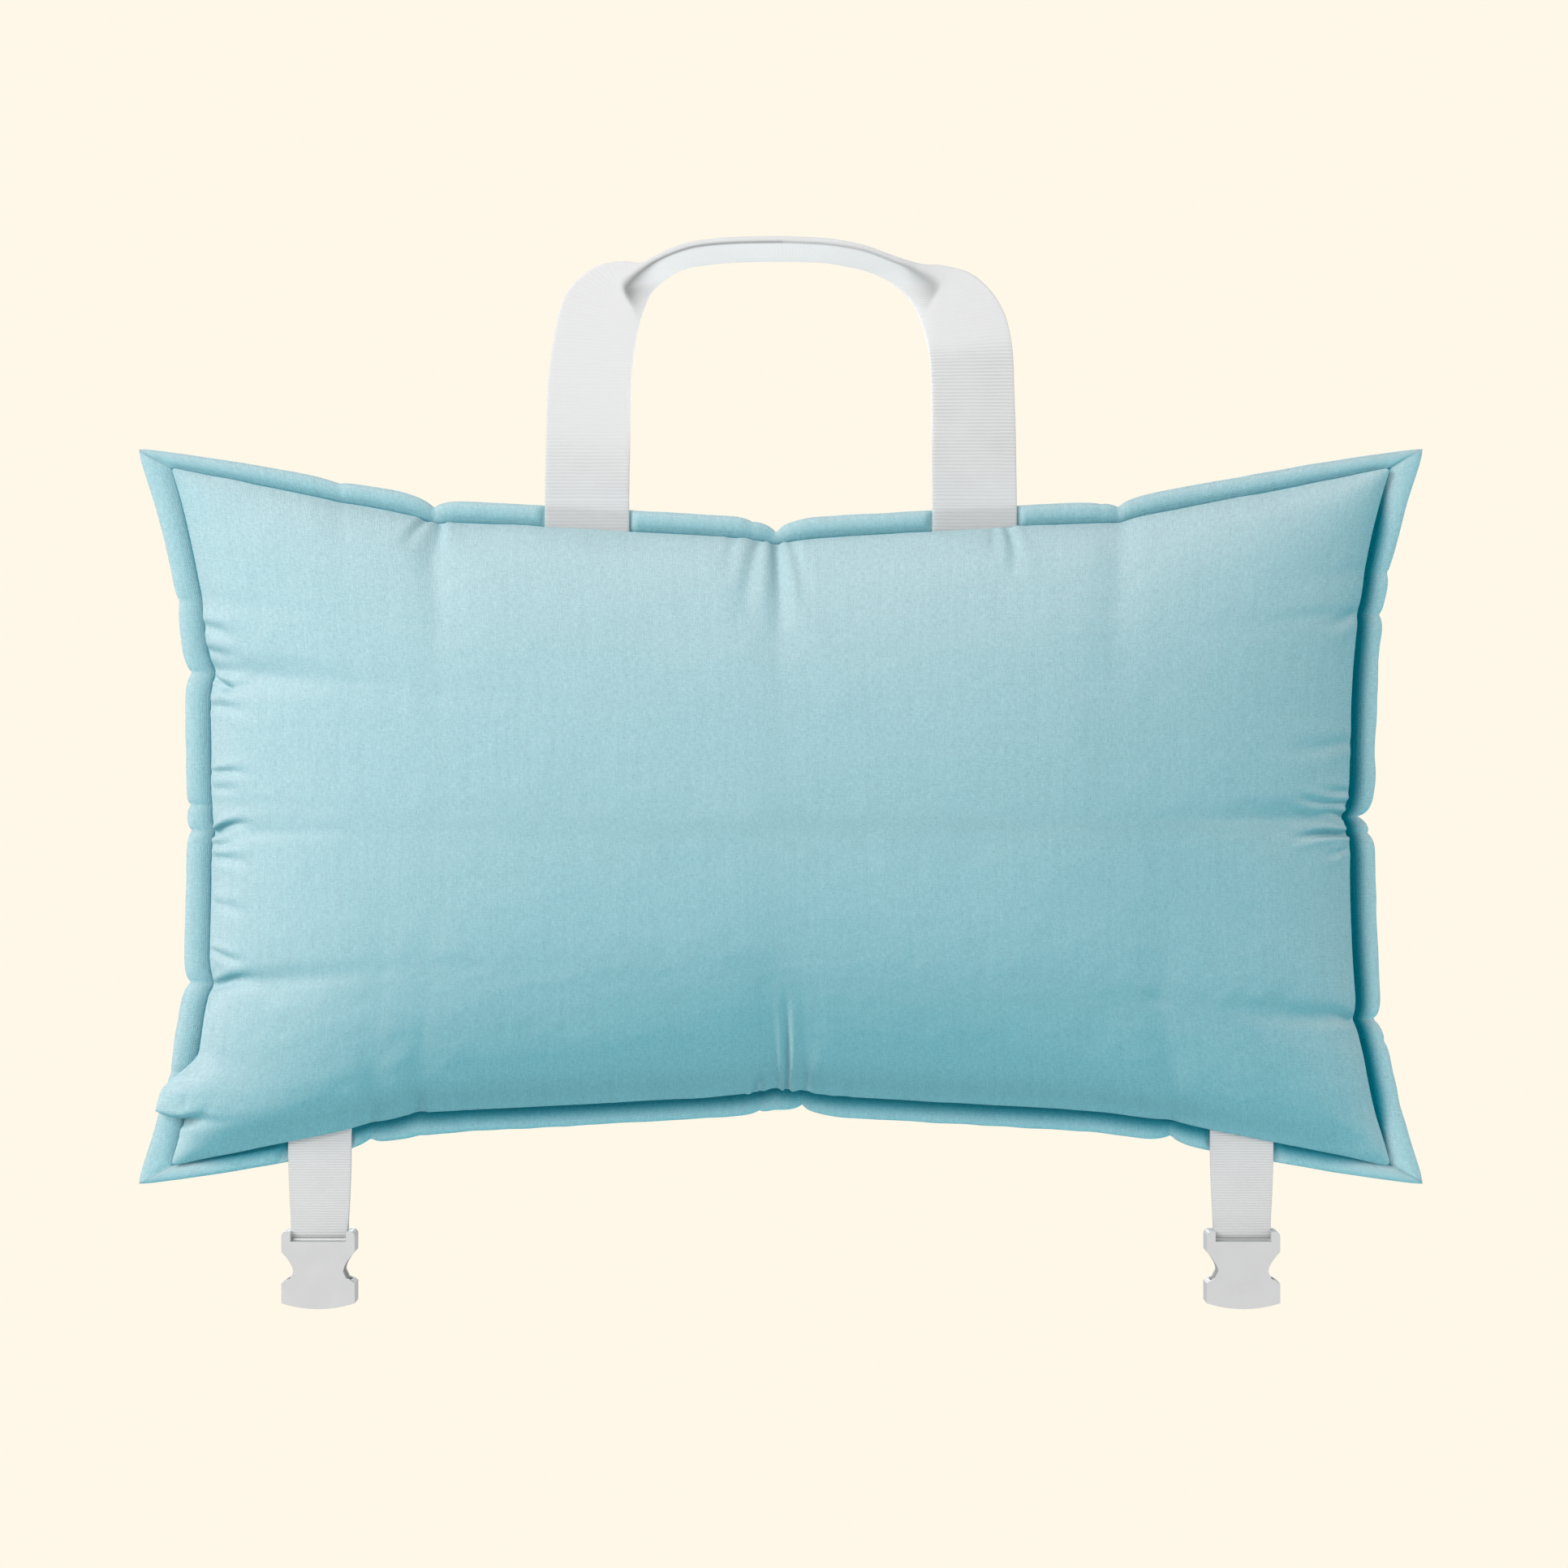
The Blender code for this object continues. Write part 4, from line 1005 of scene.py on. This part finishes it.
def make_tape(name, upwards):
    """Woven zip tape with a thicker cord woven in along its inner edge."""
    distances = np.linspace(-TAPE_HALF, TAPE_HALF, 150)
    heights = np.array(
        [0.0019, 0.0021, 0.0024, 0.0028, 0.0032, 0.0036, 0.0048, 0.0066, 0.0086, 0.0106, 0.0126]
    )
    cord = np.exp(-(((heights - 0.0027) / 0.0006) ** 2))
    surface, spans, uvs = [], [], []
    for distance in distances:
        ripple = 0.00012 * np.sin(distance * 210.0) * smooth((heights - 0.004) / 0.006)
        row = on_zip(distance, 0.0027 - 0.0005 * cord + ripple, upwards * heights)
        inwards = -np.array([math.sin(distance / ZIP_RADIUS), math.cos(distance / ZIP_RADIUS), 0.0])
        surface.append(row)
        spans.append(np.tile(inwards, (len(heights), 1)))
        uvs.append([(h, distance) for h in heights])
    obj = webbing_shell(name, np.array(surface), spans, [0.0006] * len(distances), uvs)
    face_solid(obj)
    return obj


def tube(name, line, radius, ring, aside):
    """A tube round a line of points. aside is a direction that the line never runs along."""
    line = np.asarray(line)
    ahead = np.gradient(line, axis=0)
    ahead /= np.linalg.norm(ahead, axis=1)[:, None]
    first = np.cross(ahead, aside)
    first /= np.linalg.norm(first, axis=1)[:, None]
    second = np.cross(ahead, first)
    angles = np.linspace(0.0, 2 * math.pi, ring, endpoint=False)
    points = line[:, None] + radius * (
        first[:, None] * np.cos(angles)[None, :, None] + second[:, None] * np.sin(angles)[None, :, None]
    )
    faces = grid_faces(len(line), ring, closed_columns=True)
    faces.append(tuple(range(ring))[::-1])
    faces.append(tuple(range((len(line) - 1) * ring, len(line) * ring)))
    obj = new_mesh_object(name, points.reshape(-1, 3), faces)
    face_solid(obj)
    return obj


def make_coil(name, upwards):
    """Coil of a nylon zip: one continuous wound filament, its turns meshing with the other coil's."""
    turns = int(2 * CHAIN_HALF / COIL_PITCH)
    angle = np.arange(turns * 10) * (2 * math.pi / 10)
    distance = -CHAIN_HALF + COIL_PITCH * angle / (2 * math.pi) + (0.0 if upwards > 0 else COIL_PITCH / 2)
    line = on_zip(np.minimum(distance, CHAIN_HALF), 0.0014 + 0.00075 * np.cos(angle),
                  upwards * (0.00092 + 0.00062 * np.sin(angle)))
    return tube(name, line, 0.00021, 6, np.array([1.0, 0.0, 0.0]))


def face_solid(obj):
    """Turns the faces of a closed mesh outwards."""
    shape = bmesh.new()
    shape.from_mesh(obj.data)
    bmesh.ops.recalc_face_normals(shape, faces=shape.faces)
    if shape.calc_volume(signed=True) < 0:
        bmesh.ops.reverse_faces(shape, faces=shape.faces)
    shape.to_mesh(obj.data)
    shape.free()
    obj.data.shade_smooth()


def softened(name, node, width, segments=2):
    """A copy of a moulded CAD node with its edges rounded."""
    source = frame["nodes"][node]
    obj = bpy.data.objects.new(name, source.data.copy())
    bpy.context.scene.collection.objects.link(obj)
    obj.data.transform(source.matrix_world)
    bevel = obj.modifiers.new("Round", "BEVEL")
    bevel.width = width
    bevel.segments = segments
    bevel.limit_method = "ANGLE"
    bevel.angle_limit = math.radians(32)
    bevel.harden_normals = False
    applied(obj)
    obj.data.shade_smooth()
    obj.data.set_sharp_from_angle(angle=math.radians(38))
    return obj


# ---- inner pillow ----
def make_filled(name, points, cloth_points, across, thick, zip_depth, lump, scale):
    """A closed pillow inside the cover: both of its faces follow the blown back panel, drawn in."""
    grid = points.reshape(ROWS, COLUMNS, 3)[::2, ::2].copy()
    cloth = cloth_points.reshape(ROWS, COLUMNS, 2)[::2, ::2]
    rows, columns = grid.shape[:2]
    grid[..., 0] *= across
    grid[..., 2] = MIDDLE_Z + (grid[..., 2] - MIDDLE_Z) * across
    back, front = grid.copy(), grid.copy()
    back[..., 1] *= thick
    front[..., 1] *= -thick
    face = zip_face(back[..., 0]) - zip_depth
    hold = 1.0 - smooth((np.abs(back[..., 0]) - 0.155) / 0.05)
    hold = hold * (1.0 - smooth((np.abs(back[..., 2] - MIDDLE_Z) - 0.014) / 0.05))
    back[..., 1] += np.minimum(face - back[..., 1], 0.0) * hold
    for number, half in enumerate((front, back)):
        flat = half.reshape(-1, 3)
        for p in flat:
            soft = noise.noise(Vector((p[0] * scale, number * 7.0, p[2] * scale)))
            p[1] -= lump * (0.5 + 0.5 * soft) * math.copysign(1.0, p[1]) * min(1.0, abs(p[1]) / 0.012)
    count = rows * columns
    faces = grid_faces(rows, columns)
    faces += [tuple(v + count for v in quad[::-1]) for quad in grid_faces(rows, columns)]
    loop = list(range(columns)) + [k * columns + columns - 1 for k in range(1, rows)]
    loop += [(rows - 1) * columns + k for k in range(columns - 2, -1, -1)]
    loop += [k * columns for k in range(rows - 2, 0, -1)]
    for k in range(len(loop)):
        a, b = loop[k], loop[(k + 1) % len(loop)]
        faces.append((a, a + count, b + count, b))
    obj = new_mesh_object(name, np.vstack([front.reshape(-1, 3), back.reshape(-1, 3)]), faces)
    flat_cloth = cloth.reshape(-1, 2)
    set_uv(obj, np.vstack([flat_cloth, flat_cloth + np.array([1.0, 0.0])]))
    # A faint painted shade round the sewn edge where the two faces meet.
    edge = np.zeros(2 * count)
    edge[loop] = 0.35
    edge[[v + count for v in loop]] = 0.35
    set_uv(obj, np.stack([edge, np.zeros_like(edge)], axis=1), "Seam")
    face_solid(obj)
    refine(obj, 1)
    return obj


# ---- node materials ----
class Nodes:
    """A material's node tree with short calls for building it."""

    def __init__(self, name):
        self.material = bpy.data.materials.new(name)
        self.material.use_nodes = True
        self.tree = self.material.node_tree
        self.shader = self.tree.nodes["Principled BSDF"]

    def add(self, kind, **settings):
        node = self.tree.nodes.new(kind)
        for key, value in settings.items():
            setattr(node, key, value)
        return node

    def join(self, source, target):
        self.tree.links.new(source, target)

    def feed(self, target, value):
        if hasattr(value, "is_linked"):
            self.join(value, target)
        else:
            target.default_value = value

    def math(self, operation, first, second=0.0, third=0.0):
        node = self.add("ShaderNodeMath", operation=operation)
        for socket, value in zip(node.inputs, (first, second, third)):
            self.feed(socket, value)
        return node.outputs[0]

    def noise(self, vector, scale, detail=2.0, roughness=0.5):
        node = self.add("ShaderNodeTexNoise")
        self.join(vector, node.inputs["Vector"])
        node.inputs["Scale"].default_value = scale
        node.inputs["Detail"].default_value = detail
        node.inputs["Roughness"].default_value = roughness
        return node.outputs["Fac"]

    def uv(self, layer):
        return self.add("ShaderNodeUVMap", uv_map=layer).outputs[0]

    def split(self, vector):
        node = self.add("ShaderNodeSeparateXYZ")
        self.join(vector, node.inputs[0])
        return node.outputs

    def wave(self, vector, direction, scale, distortion, detail_scale):
        node = self.add("ShaderNodeTexWave", bands_direction=direction)
        node.inputs["Scale"].default_value = scale
        node.inputs["Distortion"].default_value = distortion
        node.inputs["Detail"].default_value = 1.0
        node.inputs["Detail Scale"].default_value = detail_scale
        self.join(vector, node.inputs["Vector"])
        return node.outputs["Fac"]

    def tint(self, colour, shade):
        """Gives the shader a colour times a shade."""
        node = self.add("ShaderNodeVectorMath", operation="SCALE")
        self.feed(node.inputs[0], colour)
        self.join(shade, node.inputs["Scale"])
        self.join(node.outputs[0], self.shader.inputs["Base Color"])

    def surface(self, values):
        """Sets inputs of the shader by name, each to a value or a socket."""
        for name, value in values.items():
            self.feed(self.shader.inputs[name], value)

    def scaled(self, vector, factors):
        node = self.add("ShaderNodeVectorMath", operation="MULTIPLY")
        self.join(vector, node.inputs[0])
        node.inputs[1].default_value = factors
        return node.outputs[0]

    def mix(self, factor, first, second):
        node = self.add("ShaderNodeMix", data_type="RGBA")
        self.feed(node.inputs[0], factor)
        self.feed(node.inputs[6], first)
        self.feed(node.inputs[7], second)
        return node.outputs[2]

    def remap(self, value, low, high, to_low, to_high):
        node = self.add("ShaderNodeMapRange")
        self.feed(node.inputs[0], value)
        for socket, number in zip(list(node.inputs)[1:5], (low, high, to_low, to_high)):
            socket.default_value = number
        return node.outputs[0]

    def bump(self, height, strength, distance, normal=None):
        node = self.add("ShaderNodeBump")
        node.inputs["Strength"].default_value = strength
        node.inputs["Distance"].default_value = distance
        self.join(height, node.inputs["Height"])
        if normal is not None:
            self.join(normal, node.inputs["Normal"])
        return node.outputs["Normal"]


# Painted shade: dark teal mixed into the cloth where it lies in shade in the grooves beside the seams.
PAINTED_SEAM_SHADE_COLOUR = (0.0, 0.250, 0.330, 1.0)


def linen(name, pale, deep, low, high):
    """Plain woven cloth with uneven threads both ways, with painted light and shade: paler where it faces up
    and to the left.
    """
    n = Nodes(name)
    uv = n.uv("Cloth")
    warp = n.noise(n.scaled(uv, (1.0, 0.25, 1.0)), 1240.0, 2.0, 0.6)
    weft = n.noise(n.scaled(uv, (0.30, 1.0, 1.0)), 1340.0, 2.0, 0.6)
    threads = n.math("ADD", warp, weft)
    slubs = n.noise(n.scaled(uv, (1.0, 0.05, 1.0)), 420.0, 1.0, 0.5)
    grid = n.math("MULTIPLY", n.wave(uv, "X", 390.0, 1.4, 2.0), n.wave(uv, "Y", 390.0, 1.4, 2.0))
    height = n.math("ADD", n.math("MULTIPLY", grid, 0.5), threads)
    cloudy = n.noise(uv, 26.0, 3.0, 0.55)
    # Painted light and shade: the colour runs from deep to pale as the cloth faces up and to the left.
    normal = n.split(n.add("ShaderNodeNewGeometry").outputs["Normal"])
    aside = n.math("MINIMUM", normal[0], 0.24)
    facing = n.math("SUBTRACT", n.math("MULTIPLY", normal[2], 0.80), n.math("MULTIPLY", aside, 0.62))
    facing = n.remap(n.math("ADD", facing, n.math("MULTIPLY", cloudy, 0.10)), low, high, 0.0, 1.0)
    colour = n.mix(facing, deep, pale)
    # Painted shade beside the seams and in the zip's slot, as much as the shade layer gives.
    colour = n.mix(n.split(n.uv("Seam"))[0], colour, PAINTED_SEAM_SHADE_COLOUR)
    shade = n.remap(n.math("ADD", threads, n.math("MULTIPLY", slubs, 0.3)), 0.77, 1.53, 0.87, 1.13)
    n.tint(colour, shade)
    n.surface({
        "Roughness": n.remap(threads, 0.6, 1.4, 0.82, 0.95),
        "Normal": n.bump(height, 0.6, 0.0005),
        "Specular IOR Level": 0.04,
    })
    return n.material


WAVE_SCALE = 0.314159  # a wave texture's scale times the distance between its bands


def grosgrain(name, colour, pitch, depth, translucence):
    """Ribbed webbing: ribs across it, fine threads along it, painted shade in the hollows between the ribs
    and painted shadow along its folds.
    """
    n = Nodes(name)
    uv = n.uv("Cloth")
    wave = n.wave(uv, "Y", WAVE_SCALE / pitch, 0.9, 0.35)
    folded = n.split(n.uv("Seam"))
    fine = n.noise(n.scaled(uv, (1.0, 0.30, 1.0)), 1300.0, 1.0, 0.5)
    patches = n.noise(uv, 30.0, 2.0, 0.5)
    strength = n.math("MULTIPLY", n.remap(patches, 0.35, 0.65, 0.6, 1.0), folded[1])
    ribs = n.math("MULTIPLY", wave, strength)
    height = n.math("ADD", ribs, n.math("MULTIPLY", fine, 0.10))
    # Painted shade in the hollows between the ribs.
    shade = n.remap(n.math("SUBTRACT", strength, ribs), 0.0, 1.0, 1.0, 0.82)
    # Painted shadow along the folds.
    shade = n.math("MULTIPLY", shade, n.remap(folded[0], 0.0, 1.0, 1.0, 0.30))
    n.tint(colour, shade)
    n.surface({
        "Roughness": 0.72,
        "Specular IOR Level": 0.3,
        "Subsurface Weight": translucence,
        "Subsurface Radius": (1.0, 1.0, 1.0),
        "Subsurface Scale": 0.005,
        "Sheen Weight": 0.15,
        "Normal": n.bump(height, 0.6, depth),
    })
    return n.material


def moulded(name, colour, roughness):
    """Moulded plastic with a fine texture and faint flow marks."""
    n = Nodes(name)
    place = n.add("ShaderNodeTexCoord").outputs["Object"]
    grain = n.noise(place, 2600.0, 2.0, 0.6)
    flow = n.noise(place, 90.0, 3.0, 0.5)
    n.join(n.mix(n.remap(flow, 0.35, 0.65, 0.0, 1.0), colour, tuple(c * 0.965 for c in colour[:3]) + (1.0,)),
           n.shader.inputs["Base Color"])
    n.join(n.remap(grain, 0.3, 0.7, roughness - 0.04, roughness + 0.06), n.shader.inputs["Roughness"])
    n.join(n.bump(grain, 0.12, 0.00008), n.shader.inputs["Normal"])
    n.shader.inputs["Specular IOR Level"].default_value = 0.45
    return n.material


def fibres(name, colour):
    """Loose tangled polyester fibre."""
    n = Nodes(name)
    place = n.add("ShaderNodeTexCoord").outputs["Object"]
    strands = n.noise(n.scaled(place, (1.0, 1.0, 0.15)), 900.0, 4.0, 0.7)
    cross = n.noise(n.scaled(place, (0.2, 1.0, 1.0)), 700.0, 4.0, 0.7)
    tangle = n.math("MAXIMUM", strands, cross)
    clumps = n.noise(place, 55.0, 3.0, 0.5)
    n.join(n.mix(n.remap(clumps, 0.3, 0.7, 0.0, 1.0), tuple(c * 0.90 for c in colour[:3]) + (1.0,), colour),
           n.shader.inputs["Base Color"])
    n.join(n.bump(n.math("ADD", tangle, clumps), 0.8, 0.0012), n.shader.inputs["Normal"])
    n.shader.inputs["Roughness"].default_value = 0.95
    n.shader.inputs["Sheen Weight"].default_value = 0.4
    return n.material


def dress(obj, material):
    obj.data.materials.clear()
    obj.data.materials.append(material)


# ---- build ----
# Each linen's first colour is its painted light where it faces up and left, its second its painted shade.
cover_material = linen("cover_linen", (0.535, 0.735, 0.780, 1.0), (0.165, 0.427, 0.490, 1.0), -0.42, 0.62)
border_material = linen("border_linen", (0.500, 0.700, 0.745, 1.0), (0.200, 0.520, 0.590, 1.0), -0.70, 0.50)
webbing_material = grosgrain("webbing_ribs", (0.692, 0.685, 0.680), 0.0016, 0.0005, 0.6)
strap_material = grosgrain("strap_ribs", (0.700, 0.692, 0.688), 0.0012, 0.00022, 0.0)
socket_material = moulded("socket_plastic_white", (0.615, 0.61, 0.605, 1.0), 0.38)
zip_plastic = moulded("zip_plastic_pale", (0.60, 0.76, 0.79, 1.0), 0.35)
zip_tape_cloth = grosgrain("zip_tape_cloth", (0.42, 0.66, 0.71), 0.0007, 0.00012, 0.0)
case_material = linen("case_cotton", (0.86, 0.86, 0.83, 1.0), (0.80, 0.80, 0.77, 1.0), -0.5, 0.5)
fibre_material = fibres("fibre_white", (0.90, 0.90, 0.88, 1.0))

front_points, cloth_points = blown_panel("front_panel_cloth", -1)
back_points = blown_panel("back_panel_cloth", 1)[0]
front = make_front(front_points, cloth_points)
finish_panel(front, FRONT_CREASES, -1, 2)
dress(front, cover_material)
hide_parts("front_cover")
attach(front, "pillow")

for half, upwards in (("upper", 1.0), ("lower", -1.0)):
    back = make_back_half("back_panel_" + half, back_points, cloth_points, upwards)
    finish_panel(back, BACK_CREASES, 1, 1)
    dress(back, cover_material)
    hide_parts("back_cover_" + half)
    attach(back, "pillow")

border = make_border()
dress(border, border_material)
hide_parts("flange_top", "flange_bottom", "flange_left", "flange_right")
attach(border, "pillow")

handle = make_handle()
dress(handle, webbing_material)
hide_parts("handle_webbing", "handle_end_left", "handle_end_right")
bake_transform(handle)

for half, upwards in (("upper", 1.0), ("lower", -1.0)):
    tape = make_tape("zip_tape_cloth_" + half, upwards)
    dress(tape, zip_tape_cloth)
    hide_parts("zip_tape_" + half)
    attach(tape, "pillow")
    coil = make_coil("zip_coil_wound_" + half, upwards)
    dress(coil, zip_plastic)
    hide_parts("zip_coil_" + half)
    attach(coil, "pillow")

for name, node, body in (
    ("stop_left", "zip_stop_left", "pillow"),
    ("stop_right", "zip_stop_right", "pillow"),
    ("slider_body", "zip_slider", "slider"),
    ("pull_tab", "zip_pull", "pull"),
):
    piece = softened(name, node, 0.00035)
    dress(piece, zip_plastic)
    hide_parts(node)
    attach(piece, body)

case = make_filled("inner_pillow_case", back_points, cloth_points, 0.935, 0.900, 0.0056, 0.0006, 14.0)
dress(case, case_material)
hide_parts("inner_case_front", "inner_case_back")
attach(case, "pillow")
filling = make_filled("inner_pillow_filling", back_points, cloth_points, 0.918, 0.865, 0.0085, 0.0022, 32.0)
dress(filling, fibre_material)
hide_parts("fibre_filling")
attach(filling, "pillow")

for side, x in (("left", -STRAP_X), ("right", STRAP_X)):
    strap = make_strap("strap_webbing_" + side, x)
    dress(strap, strap_material)
    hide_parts("strap_" + side, "strap_end_" + side)
    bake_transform(strap)
    socket = softened("socket_body_" + side, "buckle_socket_" + side, 0.0007, 3)
    dress(socket, socket_material)
    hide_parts("buckle_socket_" + side)
    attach(socket, side + "_socket")


# ---- stage, lights and camera ----
def flat_glow(name, colour):
    material = bpy.data.materials.new(name)
    material.use_nodes = True
    tree = material.node_tree
    tree.nodes.clear()
    glow = tree.nodes.new("ShaderNodeEmission")
    glow.inputs["Color"].default_value = colour
    out = tree.nodes.new("ShaderNodeOutputMaterial")
    tree.links.new(glow.outputs[0], out.inputs["Surface"])
    return material


FLOOR_DROP = 0.62  # from the pillow's middle down to the floor


def add_stage():
    paper = flat_glow("cream_paper", (1.0, 0.9387, 0.8069, 1.0))
    bpy.ops.mesh.primitive_uv_sphere_add(segments=48, ring_count=24, radius=9.0, location=(0, 0, MIDDLE_Z))
    room = bpy.context.object
    room.name = "studio_backdrop"
    bpy.ops.mesh.primitive_circle_add(
        vertices=64, radius=8.9, fill_type="NGON", location=(0, 0, MIDDLE_Z - FLOOR_DROP)
    )
    floor = bpy.context.object
    floor.name = "studio_floor"
    for piece in (room, floor):
        piece.data.materials.append(paper)
        piece.visible_diffuse = False
        piece.visible_glossy = False
        piece.visible_transmission = False
        piece.visible_shadow = False


def add_area(name, place, target, size, power, colour=(1.0, 1.0, 1.0)):
    data = bpy.data.lights.new(name, "AREA")
    data.shape = "SQUARE"
    data.size = size
    data.energy = power
    data.color = colour
    light = bpy.data.objects.new(name, data)
    light.location = place
    light.rotation_euler = (Vector(target) - Vector(place)).to_track_quat("-Z", "Y").to_euler()
    bpy.context.scene.collection.objects.link(light)
    light.visible_camera = False
    return light


def add_world(colour, strength):
    world = bpy.data.worlds.new("studio")
    bpy.context.scene.world = world
    world.use_nodes = True
    background = world.node_tree.nodes["Background"]
    background.inputs["Color"].default_value = (*colour, 1.0)
    background.inputs["Strength"].default_value = strength


SENSOR_MM = 36.0
CAMERA_DISTANCE = 1.30
VIEW_WIDTH = 0.730  # metres across the picture at the pillow's middle


def add_camera():
    data = bpy.data.cameras.new("camera")
    data.sensor_width = SENSOR_MM
    data.lens = SENSOR_MM * CAMERA_DISTANCE / VIEW_WIDTH
    data.clip_start = 0.05
    data.clip_end = 50.0
    camera = bpy.data.objects.new("camera", data)
    camera.location = (0.0015, -CAMERA_DISTANCE, MIDDLE_Z + 0.0151)
    camera.rotation_euler = (math.radians(90), 0.0, 0.0)
    bpy.context.scene.collection.objects.link(camera)
    bpy.context.scene.camera = camera


add_stage()
middle = (0.0, 0.0, MIDDLE_Z)
add_area("key", (-1.5, -1.5, MIDDLE_Z + 0.85), middle, 1.2, 31.0)
add_area("fill", (2.0, -1.0, MIDDLE_Z - 0.15), middle, 1.8, 15.0)
card = add_area("card", (0.0, 0.0, MIDDLE_Z + 0.168), (0.0, 0.0, MIDDLE_Z + 1.0), 0.08, 0.045)
card.data.shape = "RECTANGLE"
card.data.size_y = 0.03
add_area("under", (0.1, -0.7, MIDDLE_Z - 1.5), (0.0, 0.0, MIDDLE_Z + 0.26), 1.4, 10.0)
add_area("rear", (-0.6, 2.0, MIDDLE_Z + 1.2), middle, 1.6, 34.0)
add_world((0.97, 0.99, 1.0), 0.50)
add_camera()
bpy.context.scene.view_settings.view_transform = "Standard"
bpy.context.scene.view_settings.look = "None"
